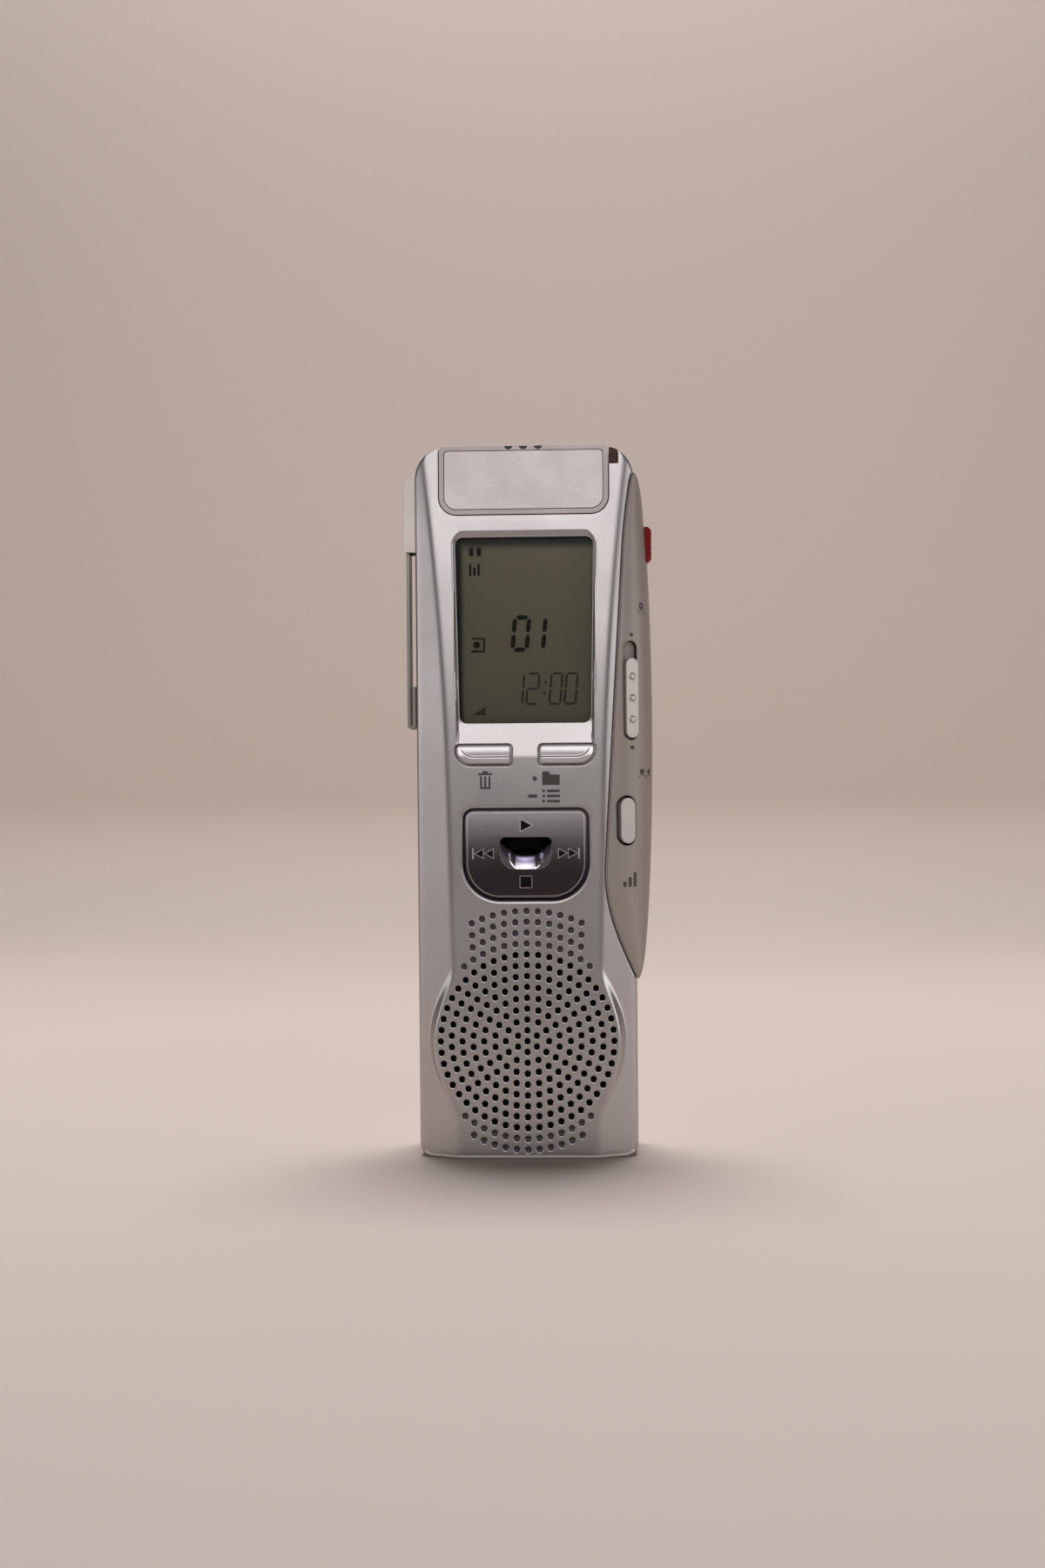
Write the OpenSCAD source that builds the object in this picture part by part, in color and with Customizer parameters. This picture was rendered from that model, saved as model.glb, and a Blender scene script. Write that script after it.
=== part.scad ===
// Pocket digital voice recorder, standing on its lower end.
// Millimetres. X runs to the viewer's right, Y from the front to the back, Z up.
// The origin is the middle of the lower end.

/* [Case] */
// Width of the two case shells
case_w = 34; // [33:0.5:38]
// Wall thickness of the case shells
wall = 1.4; // [1.2:0.1:1.8]
// Radius of the two upper shoulders
shoulder_r = 4.5; // [3.5:0.5:6]
// Radius of the two lower corners
foot_r = 2; // [1.8:0.2:3]
// Radius of the long edges at the back
back_r = 3; // [2.2:0.2:4]
// Width of a side bevel at the lower end
bevel_w_foot = 6.4; // [5.8:0.1:7]
// Width of a side bevel at the upper end
bevel_w_head = 3.8; // [3.3:0.1:4.5]
// Slope of the side bevels, in degrees
bevel_angle = 26.5; // [22:0.5:30]
// Radius of the gentle bow of the upper front
bow_r = 1000; // [700:50:2000]
// Gap between two fixed pieces
seat_gap = 0.1; // [0.05:0.05:0.15]

/* [Battery] */
// Diameter of one cell
cell_d = 10.5; // [10.3:0.1:10.8]
// Length of one cell with its nub
cell_l = 44.5; // [43.5:0.5:45.5]
// Gap round a cell
cell_gap = 0.2; // [0.15:0.05:0.4]
// Thickness of the battery tray's walls
tray_wall = 0.7; // [0.6:0.1:0.9]
// Thickness of the battery door
door_t = 1.2; // [1.1:0.1:1.6]
// Width of the tongues along the door's long edges
tongue_w = 0.6; // [0.5:0.05:0.7]
// Working length of a contact spring
spring_h = 4.5; // [4:0.5:6]

/* [Speaker] */
// Radius of the speaker's frame
speaker_r = 13.8; // [13.2:0.1:14.2]
// Depth of the speaker with its gauze
speaker_d = 3.6; // [3.4:0.1:4.2]
// Radius of one grille hole
hole_r = 0.48; // [0.3:0.02:0.5]
// Rings of open holes round the middle hole
open_rings = 8; // [7:1:9]
// Depth of the blind dimples above and below
dimple_depth = 0.7; // [0.3:0.1:0.8]
// Height of the grille's lower edge above the lower end
grille_rise = 3.4; // [3:0.2:5]
// Thickness of the ring round the speaker
speaker_ring = 0.8; // [0.7:0.1:1.2]

/* [Keys] */
// Gap round every key
key_gap = 0.35; // [0.3:0.05:0.5]
// Height that the keys stand proud
key_proud = 0.35; // [0.2:0.05:0.6]
// Travel of a pressed key
key_travel = 0.4; // [0.3:0.05:0.45]
// Width of the four-way pad
pad_w = 18.6; // [18:0.2:19.2]
// Height of the four-way pad
pad_h = 13.4; // [12.6:0.2:14]
// Width of one soft key
soft_key_w = 8.2; // [7.6:0.2:8.6]
// Height of one soft key
soft_key_h = 2.7; // [2.5:0.1:3.2]
// Distance of a soft key from the case's side
soft_key_side = 6.45; // [6.2:0.05:6.7]

/* [Display] */
// Distance of the window's upper edge from the case's side
window_side_head = 6.4; // [6:0.1:7]
// Distance of the window's lower edge from the case's side
window_side_foot = 6.9; // [6.5:0.1:7.4]
// Height of the window
window_h = 28.6; // [26:0.2:31]
// Depth of the window under the front face
window_depth = 1.3; // [1.1:0.1:1.5]
// Thickness of the window pane
lens_t = 0.7; // [0.6:0.1:0.9]

/* [Head] */
// Distance of the microphone cap from the case's side
cap_side = 3.9; // [3.7:0.1:4.5]
// Height of the microphone cap
cap_h = 10.7; // [10:0.1:12]
// Height that the cap stands above the shoulders
cap_proud = 0.4; // [0.2:0.1:0.8]
// Radius of a jack's bore
jack_r = 1.8; // [1.6:0.05:1.9]
// Depth of a jack's bore
jack_l = 11; // [9:0.5:13]

/* [Side panel] */
// Furthest reach of the panel beyond the case
panel_bulge = 2.7; // [2.4:0.1:3]
// Width of the panel on the front, at its widest
panel_w = 4.55; // [4.3:0.05:4.8]
// Height that the panel's front edge stands proud
panel_lip = 0.3; // [0.2:0.05:0.5]
// Length of the slide switch's knob
sens_l = 12.3; // [11:0.1:13]
// Travel of the slide switch
sens_travel = 2.4; // [1.8:0.1:2.8]
// Length of the record slide's knob
rec_l = 5.4; // [5:0.1:6.4]
// Travel of the record slide
rec_travel = 2.2; // [1.6:0.1:2.6]
// Height that the record slide stands proud of the panel
rec_proud = 0.85; // [0.6:0.05:1.2]

/* [Clip] */
// Reach of the clip's pod beyond the case
pod_reach = 1.8; // [1.7:0.1:2.4]
// Width of the clip's steel leaf
leaf_w = 4.2; // [3.6:0.2:4.4]
// Thickness of the steel leaf
leaf_t = 0.5; // [0.4:0.05:0.6]
// Length of the leaf below its pod
leaf_l = 28.5; // [22:0.5:34]

/* [Hidden] */
$fn = 48;
hull_fn = 32;
far = 200;

// Depth stack, from the front face to the back face
board_t = 1.0;
case_d = wall + speaker_d + 2 * seat_gap + tray_wall + 2 * cell_gap + cell_d + door_t;
y_front = -case_d / 2;
y_back = case_d / 2;
y_split = 0;
y_inner = y_front + wall;
y_board = y_inner + speaker_d - board_t;
y_tray = y_inner + speaker_d + 2 * seat_gap;
y_cell = y_tray + tray_wall + cell_gap + cell_d / 2;
y_door = y_back - door_t;

// Height stack, from the lower end to the upper end
pocket_r = speaker_r + 0.15;
disc_r = pocket_r + speaker_ring;
disc_depth = 2.6;
z_speaker = grille_rise + disc_r;
speaker_lip = 2.4;
magnet_r = speaker_r - 6.3;
basket_r = speaker_r - 4.8;
voice_r = speaker_r - 6.8;
hole_edge = 0.42;
hole_pitch = (speaker_r - hole_edge) / open_rings;
head_rings = open_rings + 4;
foot_rings = open_rings + 2;
dimple_side = 0.7;
dimple_step = 1;
pad_z = z_speaker + head_rings * hole_pitch + 2;
keys_z = pad_z + pad_h + 7.3;
crease_z = keys_z + 1.4;
window_z = keys_z + soft_key_h + 3.7;
window_top = window_z + window_h;
cap_z = window_top + 3.6;
case_h = cap_z + cap_h - cap_proud;
z_bow = pad_z + pad_h + 4.4;

// Bevels and bow of the front
bevel_slope = tan(bevel_angle);
face_flare = (bevel_w_foot - bevel_w_head) / case_h;
bevel_lean = atan(face_flare * sin(bevel_angle));
function face_half(z) = case_w / 2 - bevel_w_foot + face_flare * z;
function bevel_y(x, z) = y_front + bevel_slope * (x - face_half(z));

// Battery tray
tray_in = cell_d + cell_gap * 1.5;
tray_half = tray_in + tray_wall;
contact_t = 0.4;
contact_w = 8.4;
coil_foot_r = 3.2;
coil_head_r = 1.8;
wire_r = 0.3;
tray_z = wall + 0.6 + tray_wall;
tray_l = contact_t + spring_h + cell_l + contact_t + seat_gap;
cell_x = cell_d / 2 + cell_gap / 2;
nub_h = 0.8;
nub_r = 1.9;
door_top = tray_z + tray_l + tray_wall;
door_half = tray_in + 0.05;
tongue_t = 0.5;
tab_w = 6;
tab_l = 1.5;
tongue_rise = 4;
grip_w = 10;
grip_drop = 12;
grip_pitch = 1.6;
grip_h = 0.8;
grip_depth = 0.3;

// Screws and their bosses
boss_r = 1.4;
boss_hole_r = 0.84;
screw_r = 0.8;
screw_head_r = 1.45;
screw_head_h = 1;
screw_sink_r = 1.6;
cross_l = 0.9;
cross_w = 0.15;
cross_h = 0.5;
screw_seat_y = 3;
screw_x = max(case_w / 2 - wall - boss_r - 0.2, tray_half + boss_r + seat_gap);
screw_rise = 7;
screw_up = 18.6;
screw_heights = [screw_rise, window_z + screw_up];

// Display stack
window_w_head = case_w - 2 * window_side_head;
window_w_foot = case_w - 2 * window_side_foot;
window_r = 1.1;
ledge_w = 0.8;
ledge_t = 0.5;
frame_w = 1.2;
y_lens = y_front + window_depth;
y_ledge = y_lens + lens_t + ledge_t;
lcd_margin = 0.5;
holder_wall = 0.6;
lcd_t = 0.9;

// Soft keys and four-way pad
soft_key_x = case_w / 2 - soft_key_side - soft_key_w / 2;
soft_key_r = 0.35;
soft_key_foot_r = 2.25;
thumb_lip_h = 1.05;
thumb_lip_side = 0.4;
thumb_lip_drop = 0.25;
pad_front = y_front - key_proud + 0.05;
pad_flange = 0.7;
pad_flange_y = y_inner + 0.6;
pad_back = pad_flange_y + 0.6;
pad_bow_r = 60;
pad_head_r = 1.2;
pad_foot_r = 5.4;
ball_r = 1.1;
ball_y = pad_back + 0.05;
ball_gap = 0.05;
dish_w = 8;
dish_h = 4.9;
dish_depth = 1;
dish_head_r = 0.9;
dish_foot_r = 2.3;
dish_bowl_r = 6;
dish_sink = 0.6;
dish_up = 0.2;
nub_y = y_board - 0.8;
dome_h = 0.35;
dome_r = 2;
pad_reach_x = pad_w / 2 - 2.8;
pad_reach_z = pad_h / 2 - 1.9;
pad_mid = pad_z + pad_h / 2;

// Microphone cap, lamp and jacks
cap_w = case_w - 2 * cap_side;
cap_front = 0.15;
cap_depth = 7;
cap_r = 2.7;
plate_margin = 0.8;
plate_t = 0.5;
y_cap_back = y_front + cap_depth + 1;
mic_r = 1.8;
mic_h = 1.6;
boot_r = 2.4;
slot_r = 0.6;
slot_l = 1.4;
slot_pitch = 2.3;
mic_y = y_cap_back - boot_r - 0.8;
boot_z = cap_z + 1.2;
boot_h = 5.6;
lamp_w = 1.35;
lamp_h = 2.5;
pipe_t = 1;
lamp_x = cap_w / 2 + lamp_w / 2 + 0.15;
lamp_y = y_board - 1.6;
lamp_foot = cap_z - 0.9;
jack_x = 6;
jack_y = y_back - 5;
jack_box = 6.2;
collar_r = 2.5;

// Side panel: a leaf that wraps the right bevel and side
panel_foot = z_speaker + 9.4;
panel_head = case_h - 4;
panel_y = y_front + 7;
panel_rear = 5.5;
panel_peak = panel_foot + 18;
panel_taper = 0.0132;
panel_foot_bend = 1.1;
panel_head_bend = 0.5;
panel_head_l = 12;
panel_steps = 28;
arc_steps = 8;
side_turn = 24;
side_tilt = 30;
rec_mode_z = pad_z + pad_h - 1.6;
rec_mode_w = 2.5;
rec_mode_l = 7;
sens_z = window_z + 3.6;
sens_w = 2.1;
knob_proud = 0.45;
knob_sink = 0.65;
bump_pitch = 3.3;
bump_r = 0.6;
bump_h = 0.25;
rec_z = window_top - 0.8;
rec_w = 3.4;
rec_slant = 0.5;
groove_pitch = 1;
groove_r = 0.15;
stem_w = 1.2;
stem_l = 4;
switch_sink = 0.8;
stem_x = -0.5;
mode_switch_y = 3.7;
sens_switch_y = 2.9;
sens_switch_l = 9.6;
rec_switch_x = case_w / 2 - wall - 0.4;

// Board outline
board_side = 1.6;
post_inset = 2;
board_half = case_w / 2 - wall - board_side;
board_z = z_speaker + speaker_r + board_side;
chip_t = 1.2;
processor_w = 12;
memory_w = 7;
memory_h = 9;
amplifier_w = 6;
amplifier_t = 1;
store_w = 6;
store_h = 4;
store_t = 2.2;
post_x = board_half - post_inset;

// Clip
pod_y = y_front + 2.8;
pod_w = 5.8;
pod_h = 12;
pod_z = case_h - 15.8;
pod_wall = 0.3;
pin_r = 0.35;
eye_r = 0.6;
pin_gap = 0.04;
pin_x = -case_w / 2 - pod_reach + pod_wall + eye_r;
pin_z = pod_z + 1.6;
leaf_x = pin_x - eye_r + leaf_t / 2;
leaf_y = pod_y + pod_w / 2;
hook_r = 0.4;
hook_l = 6;

// Drawing helpers

// Extrudes a front view, drawn in X and Z, from y0 to y1
module along_y(y0, y1)
    translate([0, y1, 0]) rotate([90, 0, 0]) linear_extrude(y1 - y0) children();

// Extrudes a side view, drawn in Y and Z, from x0 to x1
module along_x(x0, x1)
    translate([x0, 0, 0]) rotate([90, 0, 90]) linear_extrude(x1 - x0) children();

// A rod along Y
module rod_y(x, z, y0, y1, r)
    translate([x, y1, z]) rotate([90, 0, 0]) cylinder(r = r, h = y1 - y0);

// A box from its two corners
module box(low, high)
    translate(low) cube(high - low);

// Rectangle about the origin with its own radius at the head and at each foot corner
module round_rect(w, h, head, foot_left, foot_right) {
    x = w / 2;
    y = h / 2;
    polygon([
        [-x + foot_left, -y], [x - foot_right, -y], [x, -y + foot_right], [x, y - head],
        [x - head, y], [-x + head, y], [-x, y - head], [-x, -y + foot_left]
    ]);
    round_corner(-x, y, head);
    round_corner(x, y, head);
    round_corner(-x, -y, foot_left);
    round_corner(x, -y, foot_right);
}

// Quarter disc that rounds the corner at x, y of a shape about the origin
module round_corner(x, y, r)
    translate([x - sign(x) * r, y - sign(y) * r]) intersection() {
        circle(r = r);
        translate([x < 0 ? -r : 0, y < 0 ? -r : 0]) square(r);
    }

// Slot with round ends, upright
module stadium(w, l) round_rect(w, l, w / 2, w / 2, w / 2);

// Outer form of the closed case; inset shrinks every face

module front_outline(inset)
    translate([0, case_h / 2])
        round_rect(case_w - 2 * inset, case_h - 2 * inset, shoulder_r - inset, foot_r - inset, foot_r - inset);

module bow_outline(forward) {
    translate([y_front - forward, -far]) square([far, far + z_bow]);
    intersection() {
        translate([y_front - forward, z_bow]) square([far, far]);
        translate([y_front - forward + bow_r, z_bow]) circle(r = bow_r, $fn = 720);
    }
}

module side_outline(inset) intersection() {
    translate([y_front, inset]) square([case_d - inset, case_h - 2 * inset]);
    bow_outline(-inset);
}

module plan_outline(inset)
    round_rect(case_w - 2 * inset, case_d - 2 * inset, back_r - inset, 0.4, 0.4);

module bevel_half(inset)
    translate([face_half(0), y_front, 0]) rotate([bevel_lean, 0, bevel_angle])
        translate([-far, inset, -far]) cube([2 * far, far, 2 * far]);

module case_form(inset) intersection() {
    along_y(y_front, y_back) front_outline(inset);
    along_x(-far, far) side_outline(inset);
    linear_extrude(case_h) plan_outline(inset);
    bevel_half(inset);
    mirror([1, 0, 0]) bevel_half(inset);
}

module front_part() box([-far, -far, -far], [far, y_split, far]);
module rear_part() box([-far, y_split, -far], [far, far, far]);

// Space behind the bowed front, moved forward by a given distance
module behind_bow(forward) along_x(-far, far) bow_outline(forward);

// Speaker disc: stands level with the flat face and blends into the bevels

module disc_blend(side, up) {
    r = 5;
    edge = face_half(z_speaker + up * 10) - 0.05;
    rise = sqrt(pow(disc_r + r - 0.01, 2) - pow(edge + r, 2));
    reach = (disc_r - 0.6) / (disc_r + r);
    translate([0, z_speaker]) difference() {
        polygon([
            [side * edge, up * rise], [side * (edge + r), up * rise],
            [side * (edge + r) * reach, up * rise * reach], [side * edge, up * rise * 0.4]
        ]);
        translate([side * (edge + r), up * rise]) circle(r = r);
    }
}

module speaker_disc() along_y(y_front, y_front + disc_depth) {
    translate([0, z_speaker]) circle(r = disc_r);
    for (side = [-1, 1]) {
        disc_blend(side, 1);
        disc_blend(side, -1);
    }
}

// One ring of holes, drilled to a depth; spread limits how far from the centre line it reaches
module hole_ring(ring, depth, spread, up) {
    count = max(1, 6 * ring);
    for (i = [0 : count - 1]) {
        a = 90 + i * 360 / count;
        x = ring * hole_pitch * cos(a);
        z = ring * hole_pitch * sin(a);
        if (abs(x) < spread && (up == 0 || up * z > 0))
            rod_y(x, z_speaker + z, y_front - 1, y_front + depth, hole_r);
    }
}

module grille_holes() {
    for (ring = [0 : open_rings]) hole_ring(ring, wall + 1, far, 0);
    spread = face_half(0) - dimple_side;
    for (ring = [open_rings + 1 : foot_rings])
        hole_ring(ring, dimple_depth, spread - (ring - open_rings - 1) * dimple_step, -1);
    hole_ring(open_rings + 1, dimple_depth, spread, 1);
    for (ring = [open_rings + 2 : head_rings]) hole_ring(ring, dimple_depth, spread - dimple_step, 1);
}

// Display window and its well

module window_outline(grow) hull() for (side = [-1, 1]) {
    translate([side * (window_w_foot / 2 - window_r), window_z + window_r])
        circle(r = window_r + grow, $fn = hull_fn);
    translate([side * (window_w_head / 2 - window_r), window_top - window_r])
        circle(r = window_r + grow, $fn = hull_fn);
}

module well_outline() {
    window_outline(0.3);
    x = window_w_foot / 2;
    polygon([[-x, crease_z], [x, crease_z], [x + 0.3, window_z + 3], [-x - 0.3, window_z + 3]]);
}

module window_well() intersection() {
    along_y(y_front - 3, y_lens) well_outline();
    along_x(-far, far) polygon([
        [y_front - 3, crease_z - 0.001], [y_front, crease_z], [y_lens, window_z - 0.2],
        [y_lens, window_top + 0.3], [y_front, window_top + 1.7], [y_front - 3, window_top + 5]
    ]);
}

// Keys

module soft_key_outline(side, grow)
    translate([side * soft_key_x, keys_z + soft_key_h / 2])
        round_rect(
            soft_key_w + 2 * grow, soft_key_h + 2 * grow, soft_key_r + grow,
            (side < 0 ? soft_key_foot_r : soft_key_r) + grow, (side < 0 ? soft_key_r : soft_key_foot_r) + grow
        );

module pad_outline(grow)
    translate([0, pad_mid])
        round_rect(pad_w + 2 * grow, pad_h + 2 * grow, pad_head_r + grow, pad_foot_r + grow, pad_foot_r + grow);

// A soft key with a raised lip along its lower and outer edges for the thumb
module soft_key(side) color("silver") {
    difference() {
        intersection() {
            along_y(y_front - key_proud, y_inner + 0.1) soft_key_outline(side, 0);
            along_x(-far, far) polygon([
                [y_front - key_proud, keys_z - 1], [y_front - key_proud, crease_z],
                [y_lens - key_proud, window_z - 0.2], [y_board, window_z], [y_board, keys_z - 1]
            ]);
        }
        along_y(y_front - 1, y_front - key_proud + thumb_lip_drop)
            translate([-side * thumb_lip_side, thumb_lip_h]) soft_key_outline(side, 0);
    }
    along_y(y_inner + 0.1, y_inner + 0.7) soft_key_outline(side, 0.55);
    rod_y(side * soft_key_x, keys_z + soft_key_h / 2, y_inner + 0.7, y_board - dome_h - key_travel - 0.1, 1.2);
}

// Side panel

function clamp(v) = min(1, max(0, v));
function panel_part(z) = clamp((z - panel_foot) / (panel_head - panel_foot));
function panel_leaf(z) =
    pow(sin(90 * clamp((z - panel_foot) / (panel_peak - panel_foot))), panel_foot_bend)
    * pow(sin(90 * clamp((panel_head - z) / panel_head_l)), panel_head_bend);
function panel_xf(z) = case_w / 2 + 0.15 - panel_w * (1 - panel_taper * (z - panel_peak)) * panel_leaf(z);
function panel_xs(z) = case_w / 2 + panel_bulge * pow(sin(180 * panel_part(z)), 0.4);
function panel_yf(z) = bevel_y(panel_xf(z), z) - panel_lip;
function panel_ys(z) = bevel_y(case_w / 2, z) + (panel_y - bevel_y(case_w / 2, z)) * panel_leaf(z);
function panel_yr(z) = panel_ys(z) + panel_rear * panel_leaf(z);
function panel_px(z, t) = panel_xf(z) + (panel_xs(z) - panel_xf(z)) * sin(t);
function panel_py(z, t) = panel_ys(z) - (panel_ys(z) - panel_yf(z)) * cos(t);

function panel_ring(z) = concat(
    [for (i = [0 : arc_steps]) [panel_px(z, 90 * i / arc_steps), panel_py(z, 90 * i / arc_steps), z]],
    [for (i = [1 : arc_steps]) let (t = 90 * i / arc_steps) [
        case_w / 2 + (panel_xs(z) - case_w / 2) * cos(t),
        panel_ys(z) + (panel_yr(z) - panel_ys(z)) * sin(t), z
    ]],
    [[min(panel_xf(z), case_w / 2 - 2), panel_yr(z), z]]
);

module panel_loft() {
    heights = [for (i = [1 : panel_steps - 1])
        panel_foot + (panel_head - panel_foot) * (1 - cos(180 * i / panel_steps)) / 2];
    n = 2 * arc_steps + 2;
    rows = len(heights);
    points = [for (z = heights) each panel_ring(z)];
    sides = [for (r = [0 : rows - 2], i = [0 : n - 1])
        [r * n + i, r * n + (i + 1) % n, (r + 1) * n + (i + 1) % n, (r + 1) * n + i]];
    foot = [[for (i = [0 : n - 1]) n - 1 - i]];
    head = [[for (i = [0 : n - 1]) (rows - 1) * n + i]];
    polyhedron(points, [for (f = concat(sides, foot, head)) [for (i = [len(f) - 1 : -1 : 0]) f[i]]]);
}

// Local frame on the panel: its Y points into the case
module on_panel(z)
    translate([panel_px(z, side_turn), panel_py(z, side_turn), z]) rotate([0, 0, side_tilt]) children();

// Ways through the panel and the case wall for the three side controls

module mode_way() on_panel(rec_mode_z) {
    along_y(-3, 5) stadium(rec_mode_w + 2 * key_gap, rec_mode_l + 2 * key_gap);
    along_y(2.45, 5) stadium(rec_mode_w + 2 * key_gap, rec_mode_l + 2.2);
}

module sens_slot() on_panel(sens_z) translate([0, 0, sens_travel / 2])
    along_y(-3, 0.9) stadium(sens_w + 0.2, sens_l + sens_travel + 0.6);

module sens_way() on_panel(sens_z)
    box([stem_x - 0.15 - stem_w / 2, -1, -stem_l / 2 - 0.2],
        [stem_x + 0.15 + stem_w / 2, 5, stem_l / 2 + sens_travel + 0.2]);

module rec_slot()
    box([case_w / 2 - 0.01, panel_y - rec_w / 2 - 0.15, rec_z - rec_l / 2 - 0.2],
        [case_w / 2 + 9, panel_y + rec_w / 2 + 0.15, rec_z + rec_l / 2 + rec_travel + 0.2]);

module rec_way()
    box([case_w / 2 - wall - 1, panel_y - 0.15 - stem_w / 2, rec_z - stem_l / 2 - 0.2],
        [case_w / 2 + 1, panel_y + 0.15 + stem_w / 2, rec_z + stem_l / 2 + rec_travel + 0.2]);

// Microphone cap outline, and the way of the indicator lens

module cap_outline(grow)
    translate([0, cap_z + cap_h / 2])
        round_rect(cap_w + 2 * grow, cap_h + 2 * grow, 1, cap_r + grow, cap_r + grow);

module plate_outline(grow)
    translate([0, cap_z + cap_h / 2])
        round_rect(
            cap_w - 2 * plate_margin + 2 * grow, cap_h - 2 * plate_margin + 2 * grow, 0.6,
            cap_r - plate_margin + grow, cap_r - plate_margin + grow
        );

module lamp_nose(grow)
    box([lamp_x - lamp_w / 2 - grow, y_front - 2, case_h - lamp_h - grow],
        [lamp_x + lamp_w / 2 + grow, lamp_y + pipe_t, case_h + grow]);

// Light pipe that runs down behind the case wall to the lamp
module lamp_pipe(grow)
    box([lamp_x - lamp_w / 2 - grow, lamp_y - grow, lamp_foot - grow],
        [lamp_x + lamp_w / 2 + grow, lamp_y + pipe_t + grow, case_h - wall - seat_gap + grow]);

// Case shells

module front_case() color("silver") difference() {
    union() {
        difference() {
            intersection() {
                case_form(0);
                front_part();
            }
            case_form(wall);
        }
        speaker_disc();
        intersection() {
            case_form(0);
            along_y(y_front, y_ledge) window_outline(frame_w);
        }
        for (side = [-1, 1]) {
            rod_y(side * screw_x, screw_heights[0], y_inner + 1.2, y_split, boss_r);
            rod_y(side * screw_x, screw_heights[1], y_inner + 1.2, y_split, boss_r);
            rod_y(side * screw_x, screw_heights[1], y_inner + 0.6, y_board, boss_r + 0.7);
            rod_y(side * post_x, board_z + 2.4, y_inner + 0.4, y_board, 1.2);
        }
    }
    rod_y(0, z_speaker, y_inner, y_split + 1, pocket_r);
    grille_holes();
    window_well();
    along_y(y_front - 3, y_lens + lens_t) window_outline(seat_gap);
    along_y(y_front - 3, y_ledge + 3) window_outline(-ledge_w);
    for (side = [-1, 1]) {
        along_y(y_front - 3, y_inner + 1) soft_key_outline(side, key_gap);
        for (z = screw_heights) rod_y(side * screw_x, z, y_inner + 2.4, y_split + 1, boss_hole_r);
    }
    along_y(y_front - 3, y_inner + 1) pad_outline(key_gap);
    along_y(y_front - 3, y_cap_back + seat_gap) cap_outline(seat_gap);
    box([-cap_w / 2 - seat_gap, y_front - 3, cap_z + cap_h / 2],
        [cap_w / 2 + seat_gap, y_cap_back + seat_gap, case_h + 1]);
    lamp_nose(0.05);
    lamp_pipe(seat_gap);
    mode_way();
    sens_slot();
    sens_way();
    rec_way();
}

module rear_case() color("silver") difference() {
    union() {
        difference() {
            intersection() {
                case_form(0);
                rear_part();
            }
            case_form(wall);
        }
        box([-tray_half, y_tray, tray_z - tray_wall], [tray_half, y_back - wall, door_top]);
        for (side = [-1, 1], z = screw_heights) rod_y(side * screw_x, z, y_split, y_back - wall, boss_r + 0.8);
    }
    box([-tray_in, y_tray + tray_wall, tray_z], [tray_in, y_back + 1, door_top - tray_wall]);
    box([-door_half - seat_gap, y_door - seat_gap, -1], [door_half + seat_gap, y_back + 1, door_top]);
    box([-door_half - tongue_w - seat_gap, y_door - seat_gap, -1],
        [door_half + tongue_w + seat_gap, y_door + tongue_t + seat_gap, door_top]);
    box([-tab_w / 2 - seat_gap, y_door - seat_gap, door_top - 1],
        [tab_w / 2 + seat_gap, y_door + tongue_t + seat_gap, door_top + tab_l + seat_gap]);
    for (side = [-1, 1], z = screw_heights) {
        rod_y(side * screw_x, z, screw_seat_y, y_back + 1, screw_sink_r);
        rod_y(side * screw_x, z, y_split - 1, y_back, screw_r + 0.2);
    }
    for (side = [-1, 1])
        translate([side * jack_x, jack_y, case_h - wall - 1]) cylinder(r = collar_r + 0.05, h = wall + 2);
}

module side_panel() color("dimgray") difference() {
    panel_loft();
    case_form(0);
    mode_way();
    sens_slot();
    rec_slot();
}

// Head

module mic_cap() color("gray") difference() {
    intersection() {
        along_y(y_front - 3, y_cap_back) cap_outline(0);
        behind_bow(cap_front);
    }
    intersection() {
        along_y(y_front - 3, y_back) plate_outline(0.05);
        difference() {
            behind_bow(3);
            behind_bow(cap_front - plate_t);
        }
    }
    translate([0, mic_y, cap_z - 1]) cylinder(r = boot_r + 0.05, h = boot_z + boot_h + 1 - cap_z);
    for (i = [-1 : 1]) {
        rod_y(i * slot_pitch, cap_z + cap_h, y_front - 3, y_front + slot_l, slot_r);
        translate([i * slot_pitch * 0.7, mic_y, boot_z]) cylinder(r = slot_r, h = cap_h);
    }
}

module name_plate() color("silver") intersection() {
    along_y(y_front - 3, y_back) plate_outline(0);
    difference() {
        behind_bow(cap_front);
        behind_bow(cap_front - plate_t);
    }
}

module lamp_lens() color("darkred") {
    intersection() {
        lamp_nose(0);
        behind_bow(0.05);
        case_form(-0.05);
    }
    lamp_pipe(0);
}

module lamp_led() color("white")
    box([lamp_x - lamp_w / 2, y_board - 0.6, lamp_foot - 1.1], [board_half, y_board, lamp_foot - seat_gap]);

module microphone() color("silver")
    translate([0, mic_y, boot_z + boot_h - mic_h - 0.4]) cylinder(r = mic_r, h = mic_h);

module mic_boot() color("black") difference() {
    translate([0, mic_y, boot_z]) cylinder(r = boot_r, h = boot_h);
    translate([0, mic_y, boot_z + boot_h - mic_h - 0.4]) cylinder(r = mic_r, h = mic_h + 1);
}

module jack(side) color("black") difference() {
    union() {
        box([side * jack_x - jack_box / 2, jack_y - jack_box / 2, case_h - jack_l - 1],
            [side * jack_x + jack_box / 2, jack_y + jack_box / 2, case_h - wall]);
        translate([side * jack_x, jack_y, case_h - wall - 0.1]) cylinder(r = collar_r, h = wall + 0.1);
    }
    translate([side * jack_x, jack_y, case_h - jack_l]) cylinder(r = jack_r, h = jack_l + 1);
}

module earphone_jack() jack(-1);
module microphone_jack() jack(1);

// Display

module display_window() color("lightgray") along_y(y_lens, y_lens + lens_t) window_outline(0);

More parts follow.
